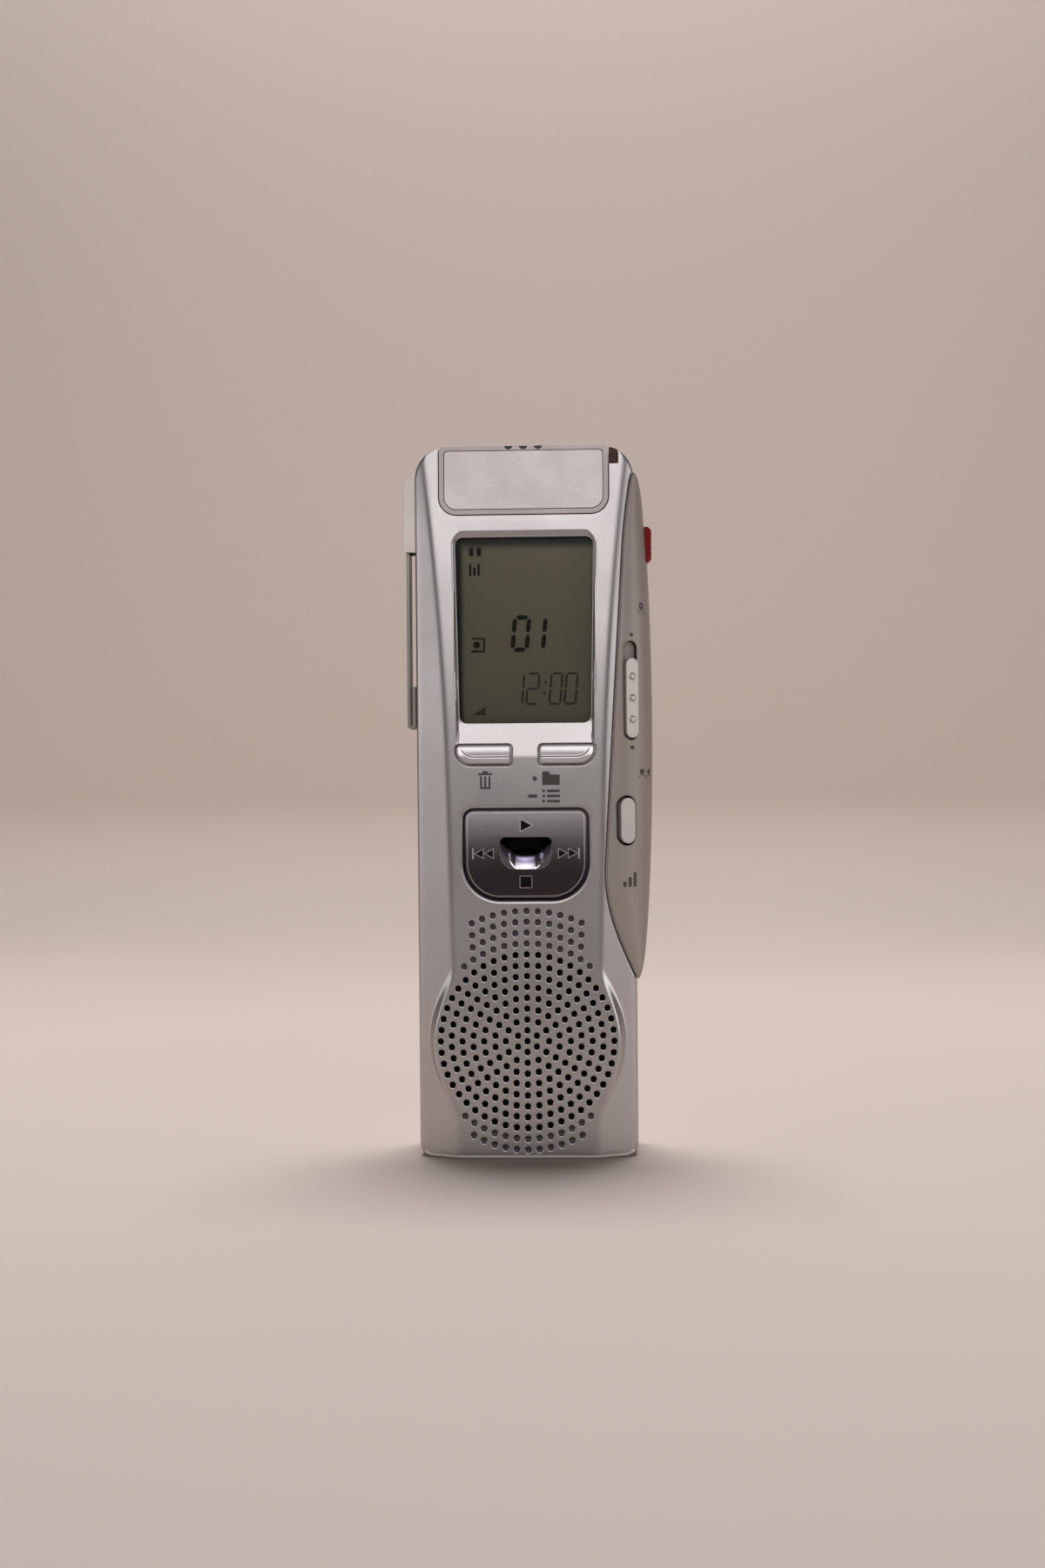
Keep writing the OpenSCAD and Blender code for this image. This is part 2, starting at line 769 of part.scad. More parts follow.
module lcd_box(grow, y0, y1)
    box([-window_w_head / 2 - lcd_margin - grow, y0, window_z - lcd_margin - grow],
        [window_w_head / 2 + lcd_margin + grow, y1, window_top + lcd_margin + grow]);

module lcd_holder() color("white") difference() {
    lcd_box(holder_wall, y_ledge, y_board);
    lcd_box(0.05, y_ledge - 1, y_board + 1);
}

module lcd_panel() color("olive") lcd_box(0, y_ledge, y_ledge + lcd_t);

module zebra_strip() color("black")
    box([-window_w_foot / 2, y_ledge + lcd_t, window_z], [window_w_foot / 2, y_board, window_z + 1.6]);

// Board

module main_board() color("darkgreen") difference() {
    box([-board_half, y_board, board_z], [board_half, y_board + board_t, cap_z - 0.3]);
    for (side = [-1, 1]) rod_y(side * screw_x, screw_heights[1], y_front, y_back, boss_r + 0.1);
    on_panel(rec_mode_z) box([-1.9, mode_switch_y - 0.3, -2.6], [9, 9, 2.6]);
    on_panel(sens_z)
        box([-1.9, sens_switch_y - 0.3, -sens_switch_l / 2 - 0.1], [9, 9, sens_switch_l / 2 + 0.1]);
    mode_way();
    sens_way();
}

module board_chips() color("black") {
    y = y_board + board_t;
    z_low = window_z - 1;
    z_high = z_low + processor_w + 2;
    box([2 - processor_w, y, z_low - 1], [2, y + chip_t, z_low - 1 + processor_w]);
    box([4, y, z_low], [4 + memory_w, y + chip_t, z_low + memory_h]);
    box([-3 - amplifier_w, y, z_high], [-3, y + amplifier_t, z_high + amplifier_w]);
    box([1, y, z_high + 1], [1 + store_w, y + store_t, z_high + 1 + store_h]);
}

module dome(x, z)
    translate([x, y_board, z]) rotate([90, 0, 0]) cylinder(r1 = dome_r, r2 = dome_r * 0.6, h = dome_h);

module dome_switches() color("gold") {
    for (side = [-1, 1]) {
        dome(side * soft_key_x, keys_z + soft_key_h / 2);
        dome(side * pad_reach_x, pad_mid);
        dome(0, pad_mid + side * pad_reach_z);
    }
}

module mode_switch() color("black")
    on_panel(rec_mode_z) box([-1.8, mode_switch_y, -2.5], [0.6, mode_switch_y + 1.2, 2.5]);

module sens_switch() color("black") on_panel(sens_z) difference() {
    box([-1.8, sens_switch_y, -sens_switch_l / 2], [0.6, sens_switch_y + 2, sens_switch_l / 2]);
    box([stem_x - stem_w / 2 - 0.1, sens_switch_y - 1, -stem_l / 2 - 0.2],
        [stem_x + stem_w / 2 + 0.1, sens_switch_y + switch_sink, stem_l / 2 + sens_travel + 0.2]);
}

module rec_switch() color("black") difference() {
    box([rec_switch_x - 2.6, y_board + board_t, rec_z - 4], [rec_switch_x, panel_y + 1.8, rec_z + 5.5]);
    box([rec_switch_x - switch_sink, panel_y - stem_w / 2 - 0.1, rec_z - stem_l / 2 - 0.2],
        [rec_switch_x + 1, panel_y + stem_w / 2 + 0.1, rec_z + stem_l / 2 + rec_travel + 0.2]);
}

// Four-way pad

module four_way_pad() color("dimgray") difference() {
    union() {
        intersection() {
            along_y(pad_front, pad_flange_y + 0.1) pad_outline(0);
            translate([-far, pad_front + pad_bow_r, pad_mid]) rotate([0, 90, 0])
                cylinder(r = pad_bow_r, h = 2 * far, $fn = 360);
        }
        along_y(pad_flange_y, pad_back) pad_outline(pad_flange);
        for (side = [-1, 1]) {
            rod_y(side * pad_reach_x, pad_mid, pad_back, nub_y, 1);
            rod_y(0, pad_mid + side * pad_reach_z, pad_back, nub_y, 1);
        }
    }
    along_y(pad_front - 1, pad_front + dish_depth) dish_outline(0.05);
    translate([0, ball_y, pad_mid]) sphere(r = ball_r + ball_gap);
}

module dish_outline(grow)
    translate([0, pad_mid + dish_up])
        round_rect(
            dish_w + 2 * grow, dish_h + 2 * grow, dish_head_r + grow, dish_foot_r + grow, dish_foot_r + grow
        );

module pad_dish() color("gainsboro") difference() {
    along_y(pad_front - 0.15, pad_front + dish_depth) dish_outline(0);
    translate([0, pad_front + dish_sink - dish_bowl_r, pad_mid + dish_up]) sphere(r = dish_bowl_r, $fn = 240);
}

module pad_ball() color("gray") translate([0, ball_y, pad_mid]) sphere(r = ball_r);

module ball_seat() color("white") difference() {
    rod_y(0, pad_mid, y_board - 0.9, y_board, 1.9);
    translate([0, ball_y, pad_mid]) sphere(r = ball_r + ball_gap);
}

// Keys and slides

module erase_key() soft_key(-1);
module menu_key() soft_key(1);

module mode_key() color("silver") on_panel(rec_mode_z) {
    along_y(-key_proud, 2.7) stadium(rec_mode_w, rec_mode_l);
    along_y(2.6, 3.1) stadium(rec_mode_w, rec_mode_l + 1.2);
}

module sens_knob() color("silver") on_panel(sens_z) {
    along_y(-knob_proud, knob_sink) stadium(sens_w, sens_l);
    for (i = [-1 : 1]) translate([0, -knob_proud, i * bump_pitch]) rotate([90, 0, 0])
        cylinder(r1 = bump_r, r2 = bump_r - 0.25, h = bump_h);
    box([stem_x - stem_w / 2, knob_sink - 0.05, -stem_l / 2],
        [stem_x + stem_w / 2, sens_switch_y + switch_sink - 0.1, stem_l / 2]);
}

module rec_knob() color("darkred") {
    low = case_w / 2 + 0.1;
    high = panel_xs(rec_z) + rec_proud;
    z0 = rec_z - rec_l / 2;
    z1 = rec_z + rec_l / 2;
    difference() {
        along_y(panel_y - rec_w / 2, panel_y + rec_w / 2) polygon([
            [low, z0], [high - rec_slant, z0], [high, z0 + rec_slant],
            [high, z1 - rec_slant], [high - rec_slant, z1], [low, z1]
        ]);
        for (i = [-2 : 2]) translate([high, panel_y - rec_w, rec_z + i * groove_pitch]) rotate([-90, 0, 0])
            cylinder(r = groove_r, h = 2 * rec_w);
    }
    box([rec_switch_x - switch_sink + 0.1, panel_y - stem_w / 2, rec_z - stem_l / 2],
        [low, panel_y + stem_w / 2, rec_z + stem_l / 2]);
}

// Speaker

module speaker_gauze() color("black") rod_y(0, z_speaker, y_inner, y_inner + 0.2, speaker_r);

module turned(y) translate([0, y, z_speaker]) rotate([-90, 0, 0]) rotate_extrude() children();

module speaker_frame() color("gray") turned(y_inner + 0.2) polygon([
    [0, 1.6], [voice_r, 1.6], [speaker_r - speaker_lip, 0.9], [speaker_r - speaker_lip, 0], [speaker_r, 0],
    [speaker_r, 1.2], [basket_r, 2.2], [0, 2.2]
]);

module speaker_magnet() color("dimgray") rod_y(0, z_speaker, y_inner + 2.4, y_inner + speaker_d, magnet_r);

module speaker_cone() color("black") turned(y_inner + 0.2) polygon([
    [0, 0.35], [voice_r - 4, 0.45], [speaker_r - speaker_lip - 0.4, 0.25], [speaker_r - speaker_lip - 0.4, 0.5],
    [voice_r, 1.1], [voice_r - 3, 0.9], [0, 0.75]
]);

// Battery

module cell() {
    body = cell_l - nub_h;
    cylinder(r = cell_d / 2, h = body);
    translate([0, 0, body]) cylinder(r = nub_r, h = nub_h);
}

module battery_cell_left() color("goldenrod")
    translate([-cell_x, y_cell, tray_z + contact_t + spring_h]) cell();

module battery_cell_right() color("goldenrod")
    translate([cell_x, y_cell, tray_z + contact_t + seat_gap + cell_l]) rotate([180, 0, 0]) cell();

module coil(h) {
    turns = 3;
    steps = 14;
    sides = 6;
    n = turns * steps;
    points = [for (i = [0 : n], k = [0 : sides - 1])
        let (a = 360 * i / steps, r = coil_foot_r - (coil_foot_r - coil_head_r) * i / n, b = 360 * k / sides)
        let (out = r + wire_r * cos(b))
        [out * cos(a), out * sin(a), (h - wire_r) * i / n + wire_r * sin(b)]];
    skin = [for (i = [0 : n - 1], k = [0 : sides - 1])
        [i * sides + k, i * sides + (k + 1) % sides, (i + 1) * sides + (k + 1) % sides, (i + 1) * sides + k]];
    foot = [[for (k = [0 : sides - 1]) sides - 1 - k]];
    head = [[for (k = [0 : sides - 1]) n * sides + k]];
    polyhedron(points, concat(skin, foot, head));
}

module contact_plate()
    translate([-contact_w / 2, -contact_w / 2, 0]) cube([contact_w, contact_w, contact_t]);

module battery_springs() color("silver") {
    translate([-cell_x, y_cell, tray_z]) contact_plate();
    translate([-cell_x, y_cell, tray_z + contact_t]) coil(spring_h - 0.05);
    translate([cell_x, y_cell, tray_z + tray_l]) mirror([0, 0, 1]) {
        contact_plate();
        translate([0, 0, contact_t]) coil(spring_h - 0.05);
    }
}

module battery_plates() color("silver") {
    translate([cell_x, y_cell, tray_z]) contact_plate();
    translate([-cell_x, y_cell, tray_z + tray_l - contact_t]) contact_plate();
}

module battery_door() color("silver") difference() {
    union() {
        box([-door_half, y_door, 0.1], [door_half, y_back, door_top - 0.1]);
        box([-door_half - tongue_w, y_door, tongue_rise],
            [door_half + tongue_w, y_door + tongue_t, door_top - 2]);
        box([-tab_w / 2, y_door, door_top - 1], [tab_w / 2, y_door + tongue_t, door_top + tab_l]);
    }
    for (i = [0 : 4]) {
        z = door_top - grip_drop + i * grip_pitch;
        box([-grip_w / 2, y_back - grip_depth, z], [grip_w / 2, y_back + 1, z + grip_h]);
    }
}

module case_screws() color("gray") for (side = [-1, 1], z = screw_heights) difference() {
    union() {
        rod_y(side * screw_x, z, screw_seat_y, screw_seat_y + screw_head_h, screw_head_r);
        rod_y(side * screw_x, z, y_inner + 3, screw_seat_y + 0.1, screw_r);
    }
    box([side * screw_x - cross_l, screw_seat_y + cross_h, z - cross_w],
        [side * screw_x + cross_l, screw_seat_y + 2, z + cross_w]);
    box([side * screw_x - cross_w, screw_seat_y + cross_h, z - cross_l],
        [side * screw_x + cross_w, screw_seat_y + 2, z + cross_l]);
}

// Clip

module clip_pod() color("silver") difference() {
    along_y(pod_y, pod_y + pod_w)
        translate([-case_w / 2, pod_z + pod_h / 2])
            round_rect(2 * pod_reach, pod_h, pod_reach * 0.95, 0.4, 0.4);
    case_form(0);
    box([-case_w / 2 - pod_reach + pod_wall - 0.05, leaf_y - leaf_w / 2 - 0.1, pod_z - 1],
        [0, leaf_y + leaf_w / 2 + 0.1, pin_z + eye_r + 0.5]);
    box([-far, leaf_y - leaf_w / 2 - 0.1, pod_z - 1], [0, leaf_y + leaf_w / 2 + 0.1, pin_z + 0.4]);
    rod_y(pin_x, pin_z, pod_y + 0.2, pod_y + pod_w - 0.2, pin_r + 0.02);
}

module clip_pin() color("gray") rod_y(pin_x, pin_z, pod_y + 0.25, pod_y + pod_w - 0.25, pin_r);

module clip_leaf() color("lightgray") {
    y0 = leaf_y - leaf_w / 2;
    y1 = leaf_y + leaf_w / 2;
    z_end = pin_z - leaf_l;
    difference() {
        union() {
            rod_y(pin_x, pin_z, y0, y1, eye_r);
            box([leaf_x - leaf_t / 2, y0, z_end], [leaf_x + leaf_t / 2, y1, pin_z]);
        }
        rod_y(pin_x, pin_z, y0 - 1, y1 + 1, pin_r + pin_gap);
    }
    difference() {
        rod_y(leaf_x + hook_r, z_end, y0, y1, hook_r + leaf_t / 2);
        rod_y(leaf_x + hook_r, z_end, y0 - 1, y1 + 1, hook_r - leaf_t / 2);
        box([-far, y0 - 1, z_end], [0, y1 + 1, z_end + 9]);
    }
    box([leaf_x + 2 * hook_r - leaf_t / 2, y0, z_end], [leaf_x + 2 * hook_r + leaf_t / 2, y1, z_end + hook_l]);
}

front_case();
rear_case();
side_panel();
mic_cap();
name_plate();
lamp_lens();
lamp_led();
display_window();
lcd_holder();
lcd_panel();
zebra_strip();
main_board();
board_chips();
dome_switches();
ball_seat();
mode_switch();
sens_switch();
rec_switch();
microphone();
mic_boot();
speaker_gauze();
speaker_frame();
speaker_magnet();
speaker_cone();
earphone_jack();
microphone_jack();
battery_cell_left();
battery_cell_right();
battery_springs();
battery_plates();
case_screws();
clip_pod();
clip_pin();
clip_leaf();
battery_door();
erase_key();
menu_key();
four_way_pad();
pad_dish();
pad_ball();
mode_key();
sens_knob();
rec_knob();
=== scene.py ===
import math

import bmesh
import bpy
import numpy as np
from mathutils import Matrix, Vector
from mathutils.geometry import delaunay_2d_cdt


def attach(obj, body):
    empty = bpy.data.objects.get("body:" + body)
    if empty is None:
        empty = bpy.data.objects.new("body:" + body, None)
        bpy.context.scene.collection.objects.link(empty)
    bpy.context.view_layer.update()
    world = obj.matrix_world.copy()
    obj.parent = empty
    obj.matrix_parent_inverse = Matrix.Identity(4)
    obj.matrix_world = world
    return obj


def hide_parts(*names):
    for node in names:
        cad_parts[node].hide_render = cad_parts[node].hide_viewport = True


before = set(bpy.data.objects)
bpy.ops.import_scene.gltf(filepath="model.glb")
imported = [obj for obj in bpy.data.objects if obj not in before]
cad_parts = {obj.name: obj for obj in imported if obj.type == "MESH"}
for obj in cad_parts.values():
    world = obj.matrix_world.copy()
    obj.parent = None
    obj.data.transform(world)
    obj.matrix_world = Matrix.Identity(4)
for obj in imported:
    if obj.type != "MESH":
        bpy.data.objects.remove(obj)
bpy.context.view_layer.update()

scene = bpy.context.scene
scene.view_settings.view_transform = "Standard"
mm = 0.001  # everything below is written in millimetres


# Shader writing: a wire is one socket, and arithmetic on wires adds nodes

class Wire:
    def __init__(self, finish, socket):
        self.finish = finish
        self.socket = socket

    def __add__(self, other):
        return self.finish.join("ADD", self, other)

    def __radd__(self, other):
        return self.finish.join("ADD", other, self)

    def __sub__(self, other):
        return self.finish.join("SUBTRACT", self, other)

    def __rsub__(self, other):
        return self.finish.join("SUBTRACT", other, self)

    def __mul__(self, other):
        return self.finish.join("MULTIPLY", self, other)

    def __rmul__(self, other):
        return self.finish.join("MULTIPLY", other, self)


class Finish:
    def __init__(self, name):
        self.material = bpy.data.materials.new(name)
        self.material.use_nodes = True
        self.tree = self.material.node_tree
        self.tree.nodes.clear()

    def add(self, kind, settings=None, values=None, out=0):
        node = self.tree.nodes.new(kind)
        for key, value in (settings or {}).items():
            setattr(node, key, value)
        for key, value in (values or {}).items():
            socket = node.inputs[key]
            if isinstance(value, Wire):
                self.tree.links.new(value.socket, socket)
            else:
                socket.default_value = value
        return Wire(self, node.outputs[out]) if len(node.outputs) else None

    def place(self):
        return self.add("ShaderNodeTexCoord", out="Object")

    def axis(self, place, index):
        # one coordinate of a place, in metres: 0 runs across, 2 runs up
        return self.add("ShaderNodeSeparateXYZ", None, {"Vector": place}, index)

    def join(self, operation, a, b):
        return self.add("ShaderNodeMath", {"operation": operation}, {0: a, 1: b})

    def scaled(self, vector, scale):
        return self.add("ShaderNodeVectorMath", {"operation": "MULTIPLY"}, {0: vector, 1: scale})

    def noise(self, vector, scale, detail):
        return self.add("ShaderNodeTexNoise", None, {"Vector": vector, "Scale": scale, "Detail": detail}, "Fac")

    def between(self, value, low, high, start=0.0, end=1.0):
        return self.add("ShaderNodeMapRange", {"interpolation_type": "SMOOTHSTEP"},
                        {"Value": value, "From Min": low, "From Max": high, "To Min": start, "To Max": end})

    def swing(self, noise, start=0.0, end=1.0):
        # the range that a noise mostly stays in, stretched from start to end
        return self.between(noise, 0.3, 0.7, start, end)

    def tint(self, factor, first, second):
        return self.add("ShaderNodeMix", {"data_type": "RGBA"}, {0: factor, 6: first, 7: second}, 2)

    def bump(self, height, distance, strength):
        return self.add("ShaderNodeBump", None,
                        {"Strength": strength, "Distance": distance * mm, "Height": height})

    def paint(self, **sockets):
        names = {"colour": "Base Color", "rough": "Roughness", "metal": "Metallic", "coat": "Coat Weight",
                 "coatRough": "Coat Roughness", "normal": "Normal", "specular": "Specular IOR Level"}
        return self.add("ShaderNodeBsdfPrincipled", None, {names[k]: v for k, v in sockets.items()})

    def done(self, shader):
        self.add("ShaderNodeOutputMaterial", None, {"Surface": shader})
        return self.material


def hue(red, green, blue):
    # screen values 0 to 255, turned to linear light
    def linear(v):
        v = v / 255
        return v / 12.92 if v <= 0.04045 else ((v + 0.055) / 1.055) ** 2.4
    return (linear(red), linear(green), linear(blue), 1)


def dim(colour, share):
    return tuple(min(1, c * share) for c in colour[:3]) + (1,)


# Finishes: scales are per metre, depths of grain in millimetres

paintLook = {
    "flakeScale": 9000, "cloudScale": 55, "worn": 0.94, "coat": 0.12, "coatRough": 0.22,
    "peelScale": 1400, "peel": 0.003, "peelPower": 0.6,
}


def metallicPaint(name, colour, metal, rough, flake=0.035, grain=1.0, grade=None):
    # sprayed paint with fine metal flake: speckled tone, uneven gloss, faint orange peel
    # grade: painted shade that darkens the tone toward the foot; the heights between which it fades in, and the
    # share of the tone left below them
    f = Finish(name)
    place = f.place()
    speck = f.noise(place, paintLook["flakeScale"], 1.0)
    cloud = f.noise(place, paintLook["cloudScale"], 3.0)
    tone = f.tint(f.swing(speck), dim(colour, 1 - flake * 3), dim(colour, 1 + flake * 2))
    tone = f.tint(f.between(cloud, 0.35, 0.7, 0.0, 0.5), tone, dim(colour, paintLook["worn"]))
    if grade:
        low, high, share = grade
        tone = f.tint(f.between(f.axis(place, 2), low * mm, high * mm), dim(colour, share), tone)
    gloss = f.swing(cloud, rough - 0.03, rough + 0.04)
    peel = f.noise(place, paintLook["peelScale"], 2.0)
    return f.done(f.paint(colour=tone, metal=metal, rough=gloss, coat=paintLook["coat"],
                          coatRough=paintLook["coatRough"],
                          normal=f.bump(peel, paintLook["peel"] * grain, paintLook["peelPower"])))


plasticLook = {"grainScale": 3500, "cloudScale": 120, "grainPower": 0.6}


def mouldedPlastic(name, colour, rough, grain=0.006, tint=0.12, metal=0.0, shine=0.5):
    # fine moulded grain and a slow drift of tone
    f = Finish(name)
    place = f.place()
    fine = f.noise(place, plasticLook["grainScale"], 3.0)
    broad = f.noise(place, plasticLook["cloudScale"], 3.0)
    tone = f.tint(f.swing(broad), dim(colour, 1 - tint), colour)
    gloss = f.swing(fine, rough - 0.05, rough + 0.06)
    return f.done(f.paint(colour=tone, rough=gloss, metal=metal, specular=shine,
                          normal=f.bump(fine, grain, plasticLook["grainPower"])))


brushLook = {"cloudScale": 150, "dark": 0.86, "line": 0.002, "linePower": 0.5}


def brushedMetal(name, colour, rough, stretch, metal=1.0):
    # brush lines, packed closest along the axis with the largest stretch
    f = Finish(name)
    place = f.place()
    lines = f.noise(f.scaled(place, stretch), 1.0, 4.0)
    blotch = f.noise(place, brushLook["cloudScale"], 2.0)
    tone = f.tint(f.swing(lines), dim(colour, brushLook["dark"]), colour)
    gloss = f.swing(lines * 0.7 + blotch * 0.3, rough - 0.06, rough + 0.08)
    return f.done(f.paint(colour=tone, rough=gloss, metal=metal,
                          normal=f.bump(lines, brushLook["line"], brushLook["linePower"])))


finishes = {  # after the colour: metal share and roughness for a paint, roughness for the others
    "silver": metallicPaint("silverPaint", hue(180, 174, 174), 0.85, 0.28, grain=0.5),
    "key": metallicPaint("keyPaint", hue(196, 189, 189), 0.85, 0.26, flake=0.03, grain=0.5),
    "taupe": metallicPaint("taupePaint", hue(156, 145, 139), 0.25, 0.48),
    "grey": metallicPaint("greyFramePaint", hue(172, 160, 158), 0.6, 0.4),
    "knob": metallicPaint("knobPaint", hue(178, 168, 164), 0.6, 0.34),
    "plate": brushedMetal("brightPlate", hue(178, 168, 169), 0.34, (900, 900, 14000), metal=0.8),
    "pod": metallicPaint("podPaint", hue(198, 187, 182), 0.5, 0.32, flake=0.03, grain=0.5),
    # the pad's paint darkens toward its foot: painted shade
    "gunmetal": metallicPaint("gunmetalPaint", hue(104, 99, 100), 0.92, 0.27, flake=0.05, grain=0.5,
                              grade=(40.5, 52.5, 0.3)),
    # painted highlight on the pad's rounded edges
    "edge": metallicPaint("paintedHighlightEdge", hue(196, 190, 190), 0.4, 0.3),
    "steel": brushedMetal("clipSteel", hue(140, 132, 128), 0.36, (8000, 8000, 300)),
    "red": mouldedPlastic("redKnob", hue(132, 7, 15), 0.5, shine=0.15),
    "redLens": mouldedPlastic("lampLens", hue(72, 46, 42), 0.3, grain=0.002, shine=0.12),
    "white": mouldedPlastic("whitePlastic", hue(214, 210, 202), 0.5),
    # painted highlight for the rounding along the shell's foot
    "rim": metallicPaint("wornRim", hue(226, 218, 214), 0.3, 0.35),
    "slotFloor": mouldedPlastic("slotFloor", hue(156, 142, 136), 0.55),
    # painted shade for the insides of the dimples
    "shade": mouldedPlastic("shadedPaint", hue(92, 86, 87), 0.7),
    # black plastic, also laid as painted shade inside the cap's sound slots
    "black": mouldedPlastic("blackPlasticAndPaintedShade", hue(26, 25, 26), 0.45),
    "rubber": mouldedPlastic("blackRubber", hue(20, 20, 20), 0.75, grain=0.012),
    "cloth": mouldedPlastic("blackCloth", hue(14, 13, 13), 0.9, grain=0.02),
    "board": mouldedPlastic("greenBoard", hue(28, 84, 52), 0.4),
    "brass": brushedMetal("brassDome", hue(206, 170, 96), 0.32, (2000, 2000, 2000)),
    "cell": mouldedPlastic("cellWrap", hue(150, 116, 52), 0.35),
    "print": mouldedPlastic("printInk", hue(66, 58, 58), 0.6, grain=0.002),
    "ink": mouldedPlastic("displayInk", hue(12, 11, 10), 0.6, grain=0.002, shine=0.1),
    "faintInk": mouldedPlastic("faintDisplayInk", hue(46, 44, 38), 0.6, grain=0.002, shine=0.2),
    # the pad's signs: painted shade inside their cuts, painted highlight on their edges and round the pad's face
    "mark": mouldedPlastic("padMark", hue(12, 11, 11), 0.6, grain=0.002, shine=0.1),
    "markRim": mouldedPlastic("padMarkPaintedHighlight", hue(176, 168, 166), 0.35, grain=0.002, tint=0.1, metal=0.6),
}

glassLook = {
    "foot": 66.0, "head": 97.0, "paintedShadowFoot": 93.8, "paintedShadowHead": 95.6, "maskIn": -9.2, "maskOut": -10.2,
    "rasterScale": 900.0, "driftScale": 70,
}


def displayGlass():
    # grey-green liquid crystal: a fine cell raster, a soft drift of tone, lighter toward the head, and a painted
    # shadow along the head and left edge
    f = Finish("displayGlass")
    place = f.place()
    across, height = f.axis(place, 0), f.axis(place, 2)
    tall = f.between(height, glassLook["foot"] * mm, glassLook["head"] * mm)
    raster = f.add("ShaderNodeTexWave", {"wave_type": "BANDS", "bands_direction": "DIAGONAL"},
                   {"Vector": place, "Scale": glassLook["rasterScale"], "Distortion": 0.0}, "Fac")
    drift = f.noise(place, glassLook["driftScale"], 2.0)
    tone = f.tint(tall, hue(93, 89, 76), hue(112, 107, 92))
    tone = f.tint(f.swing(drift, 0.0, 0.3), tone, hue(84, 81, 69))
    tone = f.tint(raster * 0.06, tone, hue(60, 58, 50))
    # painted shadow: the well's head and left walls shading the crystal, drawn as a dark band
    paintedShadow = f.join("MAXIMUM", f.between(height, glassLook["paintedShadowFoot"] * mm, glassLook["paintedShadowHead"] * mm),
                  f.between(across, glassLook["maskIn"] * mm, glassLook["maskOut"] * mm))
    tone = f.tint(paintedShadow, tone, hue(10, 10, 9))
    return f.done(f.paint(colour=tone, rough=f.swing(drift, 0.34, 0.42), specular=0.12,
                          normal=f.bump(raster, 0.001, 0.3)))


windowLook = {"rubScale": (400, 400, 3000), "clear": (0.97, 0.97, 0.95, 1), "ior": 1.47, "shine": 0.1}


def clearWindow():
    # clear acrylic: see-through, with a glossy face that has faint rub marks
    f = Finish("clearWindow")
    rub = f.noise(f.scaled(f.place(), windowLook["rubScale"]), 1.0, 3.0)
    shine = f.add("ShaderNodeBsdfGlossy", None,
                  {"Color": (1, 1, 1, 1), "Roughness": f.between(rub, 0.3, 0.8, 0.03, 0.1)})
    clear = f.add("ShaderNodeBsdfTransparent", None, {"Color": windowLook["clear"]})
    facing = f.add("ShaderNodeFresnel", None, {"IOR": windowLook["ior"]})
    return f.done(f.add("ShaderNodeMixShader", None, {0: facing * windowLook["shine"], 1: clear, 2: shine}))


dishLook = {"bend": 150, "smear": 0.4, "smearScale": 400, "paintedReflectionFoot": 44.6, "paintedReflectionHead": 45.9,
            "paintedShadeFoot": 46.1, "paintedShadeHead": 46.8}


def dishChrome():
    # mirror chrome on the lower lip and up both sides, a painted violet reflection above it, and painted shade
    # near black over the upper bowl
    f = Finish("dishChrome")
    place = f.place()
    across, height = f.axis(place, 0), f.axis(place, 2)
    smear = f.noise(place, dishLook["smearScale"], 2.0)
    bound = height - across * across * dishLook["bend"] + (smear - 0.5) * (dishLook["smear"] * mm)
    # painted reflection band in violet-grey, then painted shade over the upper bowl
    paintedReflection = f.between(bound, dishLook["paintedReflectionFoot"] * mm, dishLook["paintedReflectionHead"] * mm)
    dark = f.between(bound, dishLook["paintedShadeFoot"] * mm, dishLook["paintedShadeHead"] * mm)
    tone = f.tint(dark, f.tint(paintedReflection, hue(226, 221, 230), hue(132, 122, 146)), hue(14, 13, 14))
    return f.done(f.paint(colour=tone, metal=1.0, rough=f.swing(smear, 0.06, 0.12),
                          normal=f.bump(smear, 0.003, 0.3)))


finishes["dish"] = dishChrome()
finishes["display"] = displayGlass()
finishes["window"] = clearWindow()
print("finishes made:", len(finishes))


# Mesh helpers

class Skin:
    def __init__(self):
        self.points = []
        self.faces = []
        self.coats = []  # which finish each face wears
        self.coat = 0

    def add(self, points):
        start = len(self.points)
        self.points.extend([tuple(float(v) for v in p) for p in points])
        return list(range(start, len(self.points)))

    def lay(self, place, y):
        # points drawn in X and Z, at one depth or at a depth each
        return self.add(np.stack([place[:, 0], np.broadcast_to(y, len(place)), place[:, 1]], 1))

    def face(self, *corners):
        self.faces.append(tuple(int(i) for i in corners))
        self.coats.append(self.coat)

    def strip(self, first, second):
        # quads between two open rows of the same count
        for i in range(len(first) - 1):
            self.face(first[i], first[i + 1], second[i + 1], second[i])

    def band(self, first, second):
        # quads between two closed rings of the same count
        self.strip(list(first) + [first[0]], list(second) + [second[0]])

    def fan(self, ring, centre):
        # triangles from a closed ring to a new point
        tip, = self.add([centre])
        for i in range(len(ring)):
            self.face(ring[i], ring[(i + 1) % len(ring)], tip)

    def slab(self, front, back):
        # a thin plate between two copies of a figure
        front, back = self.add(front), self.add(back)
        self.face(*front)
        self.face(*reversed(back))
        self.band(back, front)

    def mesh(self, name):
        mesh = bpy.data.meshes.new(name)
        mesh.from_pydata([(x * mm, y * mm, z * mm) for x, y, z in self.points], [], self.faces)
        mesh.update()
        return mesh


def dress(mesh, body, finish, sharp, swap):
    # finish holds one name, or several with spaces between, in the order of the coats
    mesh.polygons.foreach_set("use_smooth", [True] * len(mesh.polygons))
    mesh.set_sharp_from_angle(angle=math.radians(sharp))
    piece = bpy.data.objects.new(mesh.name, mesh)
    scene.collection.objects.link(piece)
    for one in finish.split():
        mesh.materials.append(finishes[one])
    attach(piece, body)
    if swap:
        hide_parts(*swap)
    return piece


